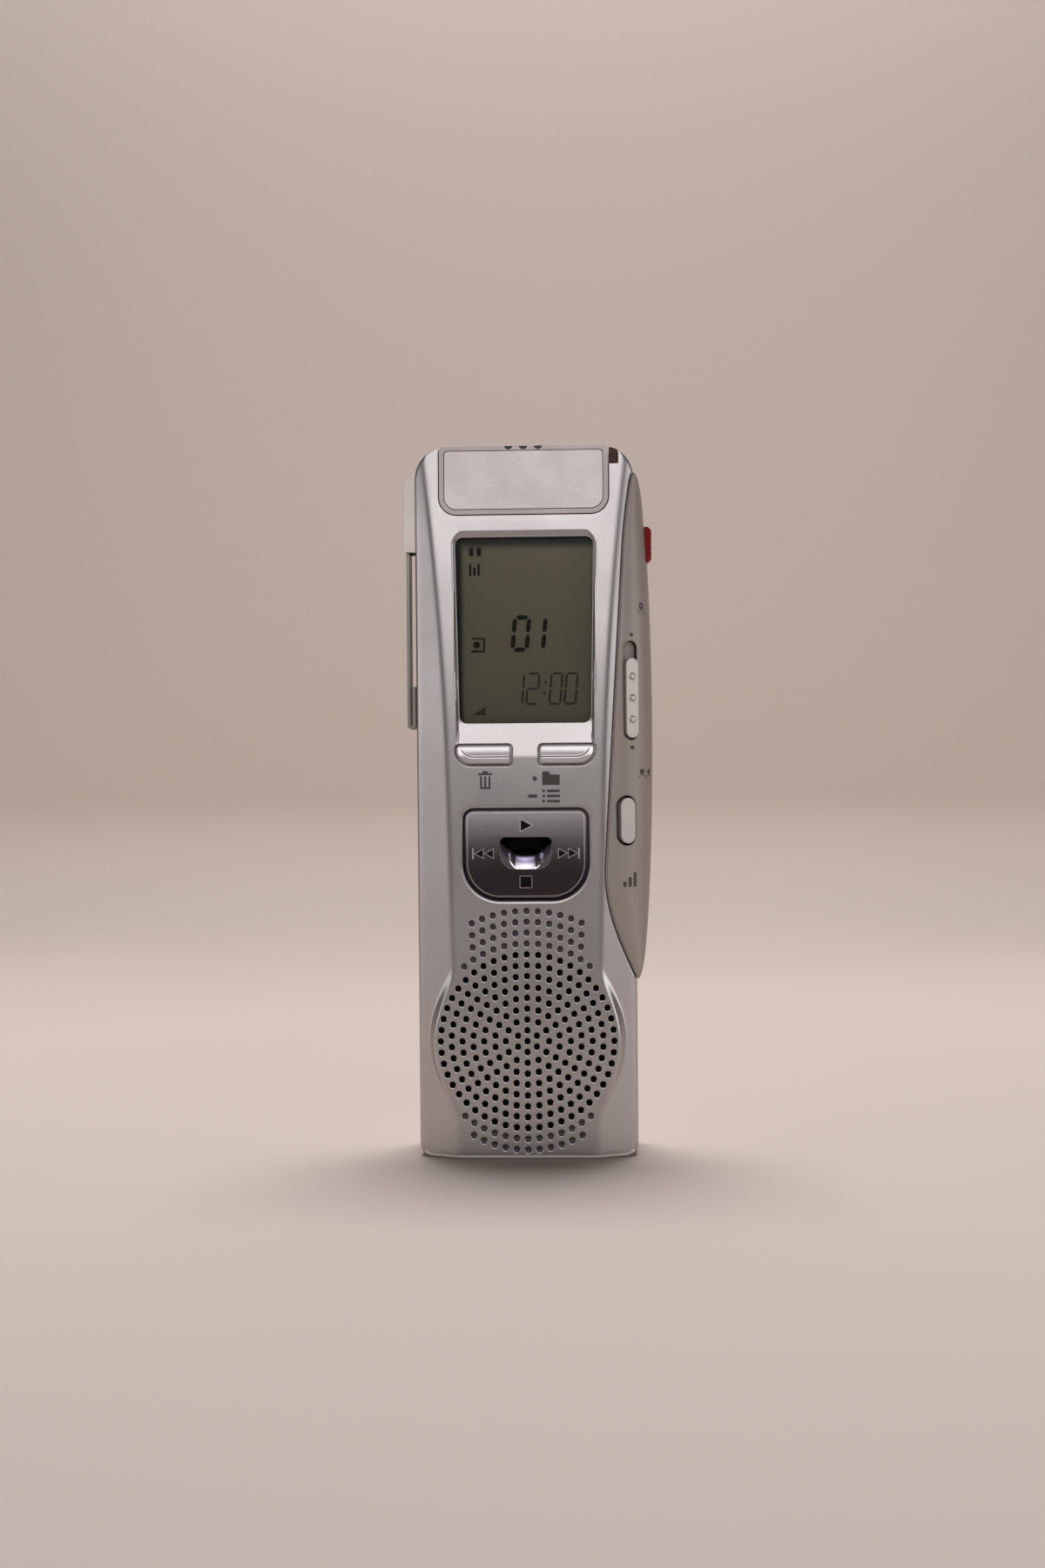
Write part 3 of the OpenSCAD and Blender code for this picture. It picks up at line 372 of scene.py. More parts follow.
def makePiece(name, skin, body, finish, sharp, swap=()):
    mesh = skin.mesh(name)
    piece = dress(mesh, body, finish, sharp, swap)
    mesh.polygons.foreach_set("material_index", skin.coats)
    return piece


def thicken(piece, depth):
    wall = piece.modifiers.new("wall", "SOLIDIFY")
    wall.thickness = depth * mm
    wall.offset = -1
    wall.use_even_offset = False


softEdge = {"steps": 3, "hard": 30.0, "flat": 1.0, "sharp": 50.0, "merge": 0.002, "mergeAfter": 0.0002}


def softCopy(node, name, width, body, finish, slotName):
    # the node's own solid with its hard edges rounded; a second finish goes on the rounding
    bm = bmesh.new()
    bm.from_mesh(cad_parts[node].data)
    bmesh.ops.remove_doubles(bm, verts=bm.verts, dist=softEdge["merge"] * mm)
    bmesh.ops.dissolve_limit(bm, angle_limit=math.radians(softEdge["flat"]), verts=bm.verts, edges=bm.edges)
    hardest = math.radians(softEdge["hard"])
    hard = [e for e in bm.edges if len(e.link_faces) == 2 and e.calc_face_angle(0) > hardest]
    rounded = bmesh.ops.bevel(bm, geom=hard, offset=width * mm, segments=softEdge["steps"], profile=0.5,
                              affect="EDGES", clamp_overlap=True)
    for face in rounded["faces"]:
        face.material_index = 1 if " " in finish else 0
    bmesh.ops.remove_doubles(bm, verts=bm.verts, dist=softEdge["mergeAfter"] * mm)
    mesh = bpy.data.meshes.new(name)
    bm.to_mesh(mesh)
    bm.free()
    piece = dress(mesh, body, finish, softEdge["sharp"], [node])
    even = piece.modifiers.new("even", "WEIGHTED_NORMAL")
    even.weight = 90
    even.keep_sharp = True
    return piece


def arcPoints(cx, cz, r, start, end, count):
    turns = [math.radians(start + (end - start) * i / count) for i in range(count + 1)]
    return [(cx + r * math.cos(a), cz + r * math.sin(a)) for a in turns]


def roundedLoop(cx, cz, w, h, headR, footLeft, footRight, step):
    # anticlockwise rounded rectangle, evenly walked
    points = []
    corners = ((1, -1, footRight, -90), (1, 1, headR, 0), (-1, 1, headR, 90), (-1, -1, footLeft, 180))
    for sx, sz, r, start in corners:
        count = max(3, int(r * math.pi / 2 / step) + 2)
        points += arcPoints(cx + sx * (w / 2 - r), cz + sz * (h / 2 - r), r, start, start + 90, count)
    return walk(points, step)


def walk(points, step):
    # fills the long sides of a closed loop with points a step apart
    out = []
    for a, b in zip(points, points[1:] + points[:1]):
        gap = math.hypot(b[0] - a[0], b[1] - a[1])
        if gap < 1e-6:
            continue
        count = max(1, int(round(gap / step)))
        out += [(a[0] + (b[0] - a[0]) * k / count, a[1] + (b[1] - a[1]) * k / count) for k in range(count)]
    return np.array(out)


def recount(loop, count):
    # the same closed loop with another number of points
    closed = np.concatenate([loop, loop[:1]])
    share = np.linspace(0, len(loop), count, endpoint=False)
    return np.stack([np.interp(share, np.arange(len(closed)), closed[:, k]) for k in (0, 1)], 1)


def outward(loop):
    # unit normals of an anticlockwise loop, pointing out of it, mitred at the corners
    after = np.roll(loop, -1, 0) - loop
    before = loop - np.roll(loop, 1, 0)
    after /= np.linalg.norm(after, axis=1)[:, None]
    before /= np.linalg.norm(before, axis=1)[:, None]
    sideA = np.stack([after[:, 1], -after[:, 0]], 1)
    sideB = np.stack([before[:, 1], -before[:, 0]], 1)
    normal = sideA + sideB
    normal /= np.linalg.norm(normal, axis=1)[:, None]
    return normal / np.maximum((normal * sideA).sum(1), 0.5)[:, None]


def quarterTurn(steps):
    # how far round and how far down each step of a rounded edge lies, as shares of its radius
    turns = [math.pi / 2 * k / steps for k in range(1, steps + 1)]
    return [(math.sin(a), 1 - math.cos(a)) for a in turns]


def loopDistance(points, loop):
    # distance of each point from a closed loop, and whether it lies inside
    best = np.full(len(points), 1e9)
    inside = np.zeros(len(points), bool)
    for a, b in zip(loop, np.roll(loop, -1, 0)):
        d = b - a
        t = np.clip(((points - a) @ d) / (d @ d), 0, 1)
        near = points - a - t[:, None] * d
        best = np.minimum(best, (near ** 2).sum(1))
        if a[1] != b[1]:
            inside ^= ((a[1] > points[:, 1]) != (b[1] > points[:, 1])) & (
                points[:, 0] < (b[0] - a[0]) * (points[:, 1] - a[1]) / (b[1] - a[1]) + a[0])
    return np.sqrt(best), inside


def within(points, loop, margin):
    gap, inside = loopDistance(points, loop)
    return points[inside & (gap > margin)]


def clearOf(points, loop, margin):
    # leaves out the points inside a loop, or nearer to it than the margin
    close = ((points > loop.min(0) - 2 * margin) & (points < loop.max(0) + 2 * margin)).all(1)
    gap, inside = loopDistance(points[close], loop)
    kept = np.ones(len(points), bool)
    kept[close] = ~inside & (gap >= margin)
    return points[kept]


def fillRegion(rim, holes, inner):
    # triangles between a rim and its convex holes; indices run over rim, holes, inner points
    loops = [rim] + holes
    points = np.concatenate(loops + [inner])
    owner, edges = [], []
    for k, loop in enumerate(loops):
        start, n = len(owner), len(loop)
        edges += [(start + i, start + (i + 1) % n) for i in range(n)]
        owner += [k] * n
    owner = np.array(owner + [-1] * len(inner))
    found = delaunay_2d_cdt([Vector(p) for p in points], edges, [], 0, 1e-7)
    source = [given[0] for given in found[3]]
    triangles = np.array([[source[i] for i in triangle] for triangle in found[2]])
    # corners all on one loop: it lies across a hole, or has to be inside the rim
    own = owner[triangles]
    oneLoop = (own == own[:, :1]).all(1) & (own[:, 0] >= 0)
    onRim = oneLoop & (own[:, 0] == 0)
    good = ~oneLoop
    good[onRim] = loopDistance(points[triangles[onRim]].mean(1), rim)[1]
    return triangles[good]


def cover(skin, rim, holes, inner, surface):
    # fills the region between a rim and its holes, laid on a surface
    skin.add(surface(np.concatenate([rim] + holes + [inner])))
    for corners in fillRegion(rim, holes, inner):
        skin.face(*corners)


def smoothMax(a, b, k):
    h = np.maximum(k - np.abs(a - b), 0) / k
    return np.maximum(a, b) + h * h * k / 4


def smoothMin(a, b, k):
    return -smoothMax(-a, -b, k)


def ease(v):
    v = np.clip(v, 0, 1)
    return v * v * (3 - 2 * v)


# Front shell, with the sizes of the pieces that it is cut out for

shell = {
    "width": 34.0, "height": 109.82, "front": -9.0, "split": -0.04, "wall": 0.35, "edge": 0.6,
    "shoulder": 4.5, "foot": 2.0, "paintedHighlightHead": 0.6, "outlineStep": 0.45,
    # side bevels, and the bow of the face toward the head
    "bevelFoot": 6.4, "bevelHead": 3.8, "bevelAngle": 26.5, "bevelBlend": 0.32,
    "bowFrom": 58.02, "bowRadius": 1000.0,
    # speaker disc and its blend into the bevels
    "speaker": 18.15, "disc": 14.75, "discHead": 52.0, "discSide": 0.97, "discInset": 1.0,
    "discBlend": 4.0, "discLead": 0.7, "discRun": 1.25,
    # grille holes and dimples
    "pitch": 1.6725, "hole": 0.48, "holeSides": 14, "holeLip": 0.13, "openRings": 8, "through": 1.45,
    "dimple": 0.7, "dimpleBowl": 0.12, "dimpleHalf": 8.9, "firstDimpleHalf": 9.9,
    # display well
    "crease": 62.32, "rampRun": 4.8, "lens": -7.7, "sideSlope": 4.0, "headSlope": 0.9,
    "wellMargin": 0.25, "rampBlend": 0.2, "lensBlend": 0.12, "wellBlend": 0.14,
    # opening for the window
    "windowFoot": 67.32, "windowHead": 95.92, "windowHalfFoot": 10.1, "windowHalfHead": 10.6,
    "windowRadius": 1.1, "windowGap": 0.1, "windowLip": 0.05, "windowSink": 1.15, "windowStep": 0.3,
}
cap = {
    "notch": 13.2, "notchFoot": 99.42, "notchRadius": 2.8, "notchEdge": 0.1, "notchEase": 2.0,
    "lamp": 14.65, "lampFoot": 107.27, "wallEnd": -0.95,
}
panel = {
    # outline of the leaf, and how it wraps round the side
    "foot": 27.55, "head": 105.82, "peak": 45.55, "headLength": 12.0, "base": 17.15, "width": 4.55,
    "taper": 0.0132, "footSwell": 1.1, "headSwell": 0.5, "bulge": 2.7, "bulgeSwell": 0.4,
    "lip": 0.3, "turn": -2.0, "rear": 5.5, "wall": 0.2, "edge": 0.1, "skirt": 0.7,
    # gap in the shell beside it, and its seat
    "gapAway": 0.16, "gapHalf": 0.15, "gapDepth": 0.35, "gapLeaf": 0.02,
    "seat": 1.5, "seatRun": 0.4, "seatLeaf": 0.3, "seatLeafRun": 0.2,
    # slots for the controls
    "anchor": 24.0, "tilt": 30.0, "slotEdge": 0.14, "slotStep": 0.22, "slotMargin": 0.1,
    # mesh, laid out flat with so many millimetres for a degree of turn
    "unit": 0.1, "rows": 150, "tip": 0.06, "tipStep": 4.0, "turnStep": 3.0,
}
softKey = {
    "across": 6.45, "mid": 62.27, "width": 8.2, "height": 2.7, "headR": 0.35, "footR": 2.25,
    "proud": 0.35, "edge": 0.12, "creaseBlend": 0.1,
    # opening round it
    "gap": 0.35, "lip": 0.16, "sink": 1.5, "sinkStep": 0.2,
    # scoop in its face
    "scoopUp": 1.05, "scoopIn": 0.4, "scoopRun": 0.34, "scoopBlend": 0.2, "drop": 0.25,
    # flange and stem behind the shell
    "flange": 0.55, "flangeFront": -7.5, "flangeBack": -6.9, "stem": 0.6, "stemEnd": -5.85,
    "step": 0.1, "grid": 0.08, "gridMargin": 0.05,
}
pad = {
    "mid": 46.92, "width": 18.6, "height": 13.4, "headR": 1.2, "footR": 5.4, "front": -9.3, "bow": 60.0,
    "gap": 0.35, "lip": 0.5, "sink": 1.0, "step": 0.25,
    # a painted highlight line, inset round the pad's face
    "line": (0.22, 0.34), "highlightLineProud": 0.012, "highlightLineSunk": 0.05,
}


def keyLoop(side, grow, step):
    k = softKey
    foot = (k["footR"], k["headR"]) if side < 0 else (k["headR"], k["footR"])
    return roundedLoop(side * k["across"], k["mid"], k["width"] + 2 * grow, k["height"] + 2 * grow,
                       k["headR"] + grow, foot[0] + grow, foot[1] + grow, step)


def padLoop(grow):
    foot = pad["footR"] + grow
    return roundedLoop(0, pad["mid"], pad["width"] + 2 * grow, pad["height"] + 2 * grow,
                       pad["headR"] + grow, foot, foot, pad["step"])


def windowLoop():
    points = []
    r = shell["windowRadius"]
    foot = shell["windowHalfFoot"] - r, shell["windowFoot"] + r
    head = shell["windowHalfHead"] - r, shell["windowHead"] - r
    for side, (x, z), start in ((1, foot, -90), (1, head, 0), (-1, head, 90), (-1, foot, 180)):
        points += arcPoints(side * x, z, r + shell["windowGap"], start, start + 90, 8)
    return walk(points, shell["windowStep"])


def faceHalf(z):
    flare = (shell["bevelFoot"] - shell["bevelHead"]) / shell["height"]
    return shell["width"] / 2 - shell["bevelFoot"] + flare * z


def bevelY(x, z):
    return shell["front"] + math.tan(math.radians(shell["bevelAngle"])) * (x - faceHalf(z))


def rampFall(z):
    # how far the ramp has sunk to the window's level
    return (z - shell["crease"]) / shell["rampRun"] * (shell["lens"] - shell["front"])


def leafShape(z):
    # width of the side panel up its height, as a share
    rise = np.clip((z - panel["foot"]) / (panel["peak"] - panel["foot"]), 0, 1)
    fall = np.clip((panel["head"] - z) / panel["headLength"], 0, 1)
    return np.sin(rise * math.pi / 2) ** panel["footSwell"] * np.sin(fall * math.pi / 2) ** panel["headSwell"]


def panelEdgeX(z):
    return panel["base"] - panel["width"] * (1 - panel["taper"] * (z - panel["peak"])) * leafShape(z)


def wellY(x, z):
    # display well: a ramp from the crease, steep sides, a soft upper wall
    share = (z - shell["windowFoot"]) / (shell["windowHead"] - shell["windowFoot"])
    half = shell["windowHalfFoot"] + (shell["windowHalfHead"] - shell["windowHalfFoot"]) * share
    r = shell["windowRadius"]
    px = np.abs(x) - (half - r)
    pz = z - (shell["windowHead"] - r)
    reach = np.hypot(np.maximum(px, 0), np.maximum(pz, 0))
    outside = reach + np.minimum(np.maximum(px, pz), 0) - r
    upness = np.clip(np.maximum(pz, 0) / np.maximum(reach, 1e-6), 0, 1)
    slope = shell["sideSlope"] - (shell["sideSlope"] - shell["headSlope"]) * upness ** 2
    wallY = shell["lens"] - (outside - shell["wellMargin"]) * slope
    rampY = shell["front"] + rampFall(z)
    return smoothMin(smoothMin(wallY, rampY, shell["rampBlend"]), shell["lens"] + 0 * x, shell["lensBlend"])


def frontY(x, z):
    ax = np.abs(x)
    front = shell["front"]
    face = front + np.maximum(z - shell["bowFrom"], 0) ** 2 / (2 * shell["bowRadius"])
    base = smoothMax(face, bevelY(ax, z), shell["bevelBlend"])
    # speaker disc, eased into the bevels
    ring = np.hypot(x, z - shell["speaker"]) - shell["disc"]
    side = (ax - faceHalf(z)) * shell["discSide"] + shell["discInset"]
    past = smoothMin(ring, side, shell["discBlend"])
    rise = np.where(z < shell["discHead"], ease((past + shell["discLead"]) / shell["discRun"]), 1.0)
    y = smoothMax(front + (base - front) * rise, wellY(x, z), shell["wellBlend"])
    # fine gap along the side panel, and the panel's seat, sunk behind its slots
    leaf = leafShape(z)
    inward = x - panelEdgeX(z)
    gap = np.exp(-((inward + panel["gapAway"]) / panel["gapHalf"]) ** 2) * (leaf > panel["gapLeaf"])
    seat = ease(inward / panel["seatRun"] - 1) * ease((leaf - panel["seatLeaf"]) / panel["seatLeafRun"])
    return y + panel["gapDepth"] * gap + panel["seat"] * seat


def frontPoints(flat):
    return np.stack([flat[:, 0], frontY(*flat.T), flat[:, 1]], 1)


def shoulderTurn(x):
    # degrees along a shoulder's arc at which it stands at x
    s = shell["shoulder"]
    return math.degrees(math.acos((x - shell["width"] / 2 + s) / s))


def caseOutline():
    w, h, s, f = shell["width"] / 2, shell["height"], shell["shoulder"], shell["foot"]
    notch, lamp, r = cap["notch"], cap["lamp"], cap["notchRadius"]
    points = [(-w + f, 0.0)]
    points += arcPoints(w - f, f, f, -90, 0, 8)
    points += arcPoints(w - s, h - s, s, 0, shoulderTurn(lamp), 10)
    points += [(lamp, cap["lampFoot"]), (notch, cap["lampFoot"])]
    points += arcPoints(notch - r, cap["notchFoot"] + r, r, 0, -90, 8)
    points += arcPoints(-notch + r, cap["notchFoot"] + r, r, -90, -180, 8)
    points += arcPoints(-w + s, h - s, s, 180 - shoulderTurn(notch), 180, 12)
    points += arcPoints(-w + f, f, f, 180, 270, 8)
    return walk(points, shell["outlineStep"])


def grilleHoles():
    # rings of holes, bored through on the disc; dimples outside it and up the face
    found = []
    rings = shell["openRings"]
    for ring in range(rings + 5):
        reach = ring * shell["pitch"]
        half = shell["firstDimpleHalf"] if ring == rings + 1 else shell["dimpleHalf"]
        for i in range(max(1, 6 * ring)):
            a = math.pi / 2 + i * 2 * math.pi / max(1, 6 * ring)
            x, z = reach * math.cos(a), reach * math.sin(a)
            if ring <= rings:
                found.append((x, z + shell["speaker"], shell["through"]))
            elif abs(x) < half and (ring < rings + 3 or z > 0):
                found.append((x, z + shell["speaker"], shell["dimple"]))
    return found


def frontOpenings():
    # each opening: its loop on the face, lip radius, depth, and whether it ends in a floor
    openings = []
    turn = np.arange(shell["holeSides"]) * 2 * math.pi / shell["holeSides"]
    for x, z, depth in grilleHoles():
        loop = np.stack([x + shell["hole"] * np.cos(turn), z + shell["hole"] * np.sin(turn)], 1)
        openings.append((loop, shell["holeLip"], depth, depth == shell["dimple"]))
    for side in (-1, 1):
        loop = keyLoop(side, softKey["gap"], softKey["sinkStep"])
        openings.append((loop, softKey["lip"], softKey["sink"], False))
    openings.append((padLoop(pad["gap"]), pad["lip"], pad["sink"], False))
    openings.append((windowLoop(), shell["windowLip"], shell["windowSink"], False))
    return openings


faceMesh = {
    "grid": 0.21, "medium": 2, "coarse": 6, "softBend": 0.02, "sharpBend": 0.12, "rimMargin": 0.12,
    "holeMargin": 0.1, "gapReach": 0.62, "gapStep": 0.35,
    "gapLines": (-0.5, -0.36, -0.24, -0.13, -0.04, 0.04, 0.13, 0.24, 0.36),
    "edgeSteps": 6, "paintedHighlightSteps": 4, "lipSteps": 5, "collar": 0.08,
    "fineLip": 0.15, "fineSteps": 2, "fineCollar": 0.04,
}


def widen(field, reach):
    # each cell takes the largest value found within reach of it
    for axis in (0, 1):
        field = np.max([np.roll(field, k, axis) for k in range(-reach, reach + 1)], 0)
    return field


def facePoints(rim, holes):
    # points inside the face: fine where it bends, coarse where it is flat
    m = faceMesh
    fine, w = m["grid"], shell["width"] / 2
    gx, gz = np.meshgrid(np.arange(-w, w + 0.01, fine), np.arange(0, shell["height"] + fine, fine))
    middleY = frontY(gx, gz)
    bend = np.zeros_like(gx)
    for dx, dz in ((fine, 0), (0, fine), (fine * 0.7, fine * 0.7), (fine * 0.7, -fine * 0.7)):
        sag = frontY(gx + dx, gz + dz) + frontY(gx - dx, gz - dz) - 2 * middleY
        bend = np.maximum(bend, np.abs(sag) / fine ** 2)
    bend = widen(bend, 1)
    column, row = np.meshgrid(np.arange(gx.shape[1]), np.arange(gx.shape[0]))
    coarse, medium = ((column % n == 0) & (row % n == 0) for n in (m["coarse"], m["medium"]))
    chosen = coarse | (medium & (bend > m["softBend"])) | (bend > m["sharpBend"])
    inner = np.stack([gx[chosen], gz[chosen]], 1)
    # lines that follow the gap along the panel take the place of the grid there
    away = panel["gapAway"]
    nearGap = np.abs(inner[:, 0] - panelEdgeX(inner[:, 1]) + away) < m["gapReach"]
    nearGap &= (inner[:, 1] > panel["foot"]) & (inner[:, 1] < panel["head"])
    gapZ = np.arange(panel["foot"] + 0.2, panel["head"] - 0.1, m["gapStep"])
    lines = [np.stack([panelEdgeX(gapZ) - away + offset, gapZ], 1) for offset in m["gapLines"]]
    inner = within(np.concatenate([inner[~nearGap]] + lines), rim, m["rimMargin"])
    for loop in holes:
        inner = clearOf(inner, loop, m["holeMargin"])
    return inner


def rollEdge(skin, outline, normals, radius, inNotch):
    # rounded outer edge, and side walls back to the split; a paler paint along the foot's rounding is a painted
    # highlight
    rim = outline - normals * radius[:, None]
    step = 0.02
    startY = frontY(*rim.T)
    back = rim - normals / np.linalg.norm(normals, axis=1)[:, None] * step
    lean = np.arctan(np.clip((startY - frontY(*back.T)) / step, 0, 1.2))
    last = list(range(len(rim)))
    steps = faceMesh["edgeSteps"]
    for k in range(1, steps + 1):
        angle = lean + (math.pi / 2 - lean) * k / steps
        reach = (np.sin(angle) - np.sin(lean)) / (1 - np.sin(lean))
        topY = startY + radius / (1 - np.sin(lean)) * (np.cos(lean) - np.cos(angle))
        ring = skin.lay(rim + normals * (radius * reach)[:, None], topY)
        for i in range(len(ring)):
            j = (i + 1) % len(ring)
            skin.coat = 3 if outline[i, 1] < shell["paintedHighlightHead"] and k <= faceMesh["paintedHighlightSteps"] else 0
            skin.face(ring[i], ring[j], last[j], last[i])
        skin.coat = 0
        last = ring
    # the wall ends early behind the cap, and runs to the split on the shoulders
    s = shell["shoulder"]
    past = np.abs(outline) - [shell["width"] / 2 - s, shell["height"] - s]
    onShoulder = (past > 0).all(1) & (np.linalg.norm(past, axis=1) > s - 0.01)
    endY = np.where(inNotch & ~onShoulder, cap["wallEnd"], shell["split"])
    for share in (0.35, 0.7, 1.0):
        ring = skin.lay(outline, topY + (endY - topY) * share)
        skin.band(ring, last)
        last = ring


def lineOpenings(skin, openings, start):
    # lips, walls and floors of the openings, whose loops on the face begin at point start
    for loop, lip, depth, floor in openings:
        last = list(range(start, start + len(loop)))
        start += len(loop)
        edge = loop + outward(loop) * lip
        topY = frontY(*edge.T)
        steps = faceMesh["fineSteps" if lip < faceMesh["fineLip"] else "lipSteps"]
        for far, down in [(0.0, 0.0)] + quarterTurn(steps):
            ring = skin.lay(edge + (loop - edge) * far, topY + lip * down)
            skin.band(last, ring)
            last = ring
        ring = skin.lay(loop, topY + max(depth, lip + 0.1))
        # the dimples' walls and floors wear painted shade in dark grey; the other openings' walls are black
        skin.coat = 2 if floor else 1
        skin.band(last, ring)
        if floor:
            x, z = loop.mean(0)
            skin.fan(ring, (x, topY.mean() + depth + shell["dimpleBowl"], z))
        skin.coat = 0


def buildFrontShell():
    skin = Skin()
    outline = caseOutline()
    normals = outward(outline)
    # edge rounding: full on the outside, hardly any in the cap's notch
    inNotch = (np.abs(outline[:, 0]) < cap["lamp"] + 0.05) & (outline[:, 1] > cap["notchFoot"] - 0.4)
    arc = np.concatenate([[0], np.cumsum(np.linalg.norm(np.diff(outline, axis=0), axis=1))])
    away = np.abs(arc[:, None] - arc[inNotch][None, :]).min(1)
    radius = cap["notchEdge"] + (shell["edge"] - cap["notchEdge"]) * ease(away / cap["notchEase"])
    rim = outline - normals * radius[:, None]
    # a narrow flat collar round each lip keeps its shading off the face
    openings = frontOpenings()
    holes = []
    for loop, lip in (opening[:2] for opening in openings):
        collar = faceMesh["fineCollar" if lip < faceMesh["fineLip"] else "collar"]
        holes.append(loop + outward(loop) * (lip + collar))
    cover(skin, rim, holes, facePoints(rim, holes), frontPoints)
    rollEdge(skin, outline, normals, radius, inNotch)
    lineOpenings(skin, openings, len(rim))
    piece = makePiece("frontShell", skin, "case", "silver black shade rim", 55, ["front_case"])
    thicken(piece, shell["wall"])
    print("front shell:", len(skin.points), "points")


buildFrontShell()

capRear = {
    "notch": 13.25, "lamp": 14.68, "edge": 0.1, "front": -0.9, "depth": 1.4,
    "cornerFront": -5.55, "cornerDepth": 2.2,
}


def buildCapRear():
    # the shell's top wall behind the cap, and its corner behind the indicator lens
    skin = Skin()
    w, h, s = shell["width"] / 2, shell["height"], shell["shoulder"]
    edge, split = capRear["edge"], shell["split"]
    lamp, notch = shoulderTurn(capRear["lamp"]), shoulderTurn(capRear["notch"])
    top = ((1, np.linspace(lamp, 90, 13)), (-1, np.linspace(90, 180 - notch, 11)))
    corner = ((1, np.linspace(lamp, notch, 7)),)
    for front, depth, spans in ((capRear["front"], capRear["depth"], top),
                                (capRear["cornerFront"], capRear["cornerDepth"], corner)):
        section = ((front, depth), (front, edge), (front + edge * 0.3, edge * 0.3), (front + edge, 0.0),
                   (split, 0.0), (split, depth))
        rings = []
        for side, turns in spans:
            for a in np.radians(turns):
                rings.append(skin.add([(side * (w - s) + math.cos(a) * (s - d), y, h - s + math.sin(a) * (s - d))
                                       for y, d in section]))
        for first, second in zip(rings, rings[1:]):
            skin.band(first, second)
        skin.face(*reversed(rings[0]))
        skin.face(*rings[-1])
    makePiece("capRear", skin, "case", "silver", 50)


buildCapRear()


# Side panel

panelSlots = {  # height, size, corner, lip and depth of each control's slot, and the turn it lies within
    "mode": {"at": 52.02, "up": 0.0, "width": 3.2, "length": 7.7, "corner": 1.6, "lip": 0.16,
             "depth": 1.6, "floor": False, "turn": (0, 120)},
    "sensitivity": {"at": 70.92, "up": 1.2, "width": 2.3, "length": 15.3, "corner": 1.15, "lip": 0.16,
                    "depth": 0.9, "floor": True, "turn": (0, 120)},
    "record": {"at": 96.22, "up": 0.0, "width": 3.7, "length": 8.0, "corner": 0.35, "lip": 0.12,
               "depth": 1.2, "floor": True, "turn": (20, 170), "sideY": -2.0},
}


def panelPoint(t, z):
    # t runs from 0 at the front edge over 90 at the side to 180 at the rear edge
    leaf = leafShape(z)
    part = np.clip((z - panel["foot"]) / (panel["head"] - panel["foot"]), 0, 1)
    flank = shell["width"] / 2
    xf = panelEdgeX(z)
    xs = flank + panel["bulge"] * np.maximum(np.sin(math.pi * part), 0) ** panel["bulgeSwell"]
    side = bevelY(flank, z)
    ys = side + (panel["turn"] - side) * leaf
    yf = bevelY(xf, z) - panel["lip"]
    x = np.where(t <= 90, xf, flank)
    reach = np.where(t <= 90, ys - yf, panel["rear"] * leaf)
    a = np.radians(t)
    return x + (xs - x) * np.sin(a), ys - reach * np.cos(a)


def panelPoints(layout):
    # points of the panel from its layout: turn across, height up
    x, y = panelPoint(layout[:, 0] / panel["unit"], layout[:, 1])
    return np.stack([x, y, layout[:, 1]], 1)


def slotFrame(slot):
    # where a control sits, and its crosswise and inward directions in X and Y
    if "sideY" in slot:  # on the side, facing along X
        return np.array([0.0, slot["sideY"]]), np.array([0.0, 1.0]), np.array([-1.0, 0.0])
    a = math.radians(panel["tilt"])
    across, inward = np.array([math.cos(a), math.sin(a)]), np.array([-math.sin(a), math.cos(a)])
    return np.array(panelPoint(panel["anchor"], slot["at"])), across, inward


def slotLoops(slot):
    # outer and inner loop of a slot on the panel's layout
    origin, across = slotFrame(slot)[:2]
    samples = np.linspace(*slot["turn"], 600)
    loops = []
    for grow in (slot["lip"], 0.0):
        r = slot["corner"] + grow
        flat = roundedLoop(0, slot["at"] + slot["up"], slot["width"] + 2 * grow, slot["length"] + 2 * grow,
                           r, r, r, panel["slotStep"])
        turns = []
        for offset, z in flat:
            x, y = panelPoint(samples, z)
            turns.append(np.interp(offset, (x - origin[0]) * across[0] + (y - origin[1]) * across[1], samples))
        loops.append(np.stack([np.array(turns) * panel["unit"], flat[:, 1]], 1))
    outer, inner = loops
    return outer, recount(inner, len(outer))


def panelRim(heights):
    # up the front edge and the rear edge, and across the two tips
    unit = panel["unit"]
    across = np.arange(panel["tipStep"], 180, panel["tipStep"])
    return np.concatenate([
        np.stack([0 * heights, heights], 1)[::-1],
        np.stack([across * unit, 0 * across + heights[0]], 1),
        np.stack([0 * heights + 180 * unit, heights], 1),
        np.stack([across[::-1] * unit, 0 * across + heights[-1]], 1),
    ])


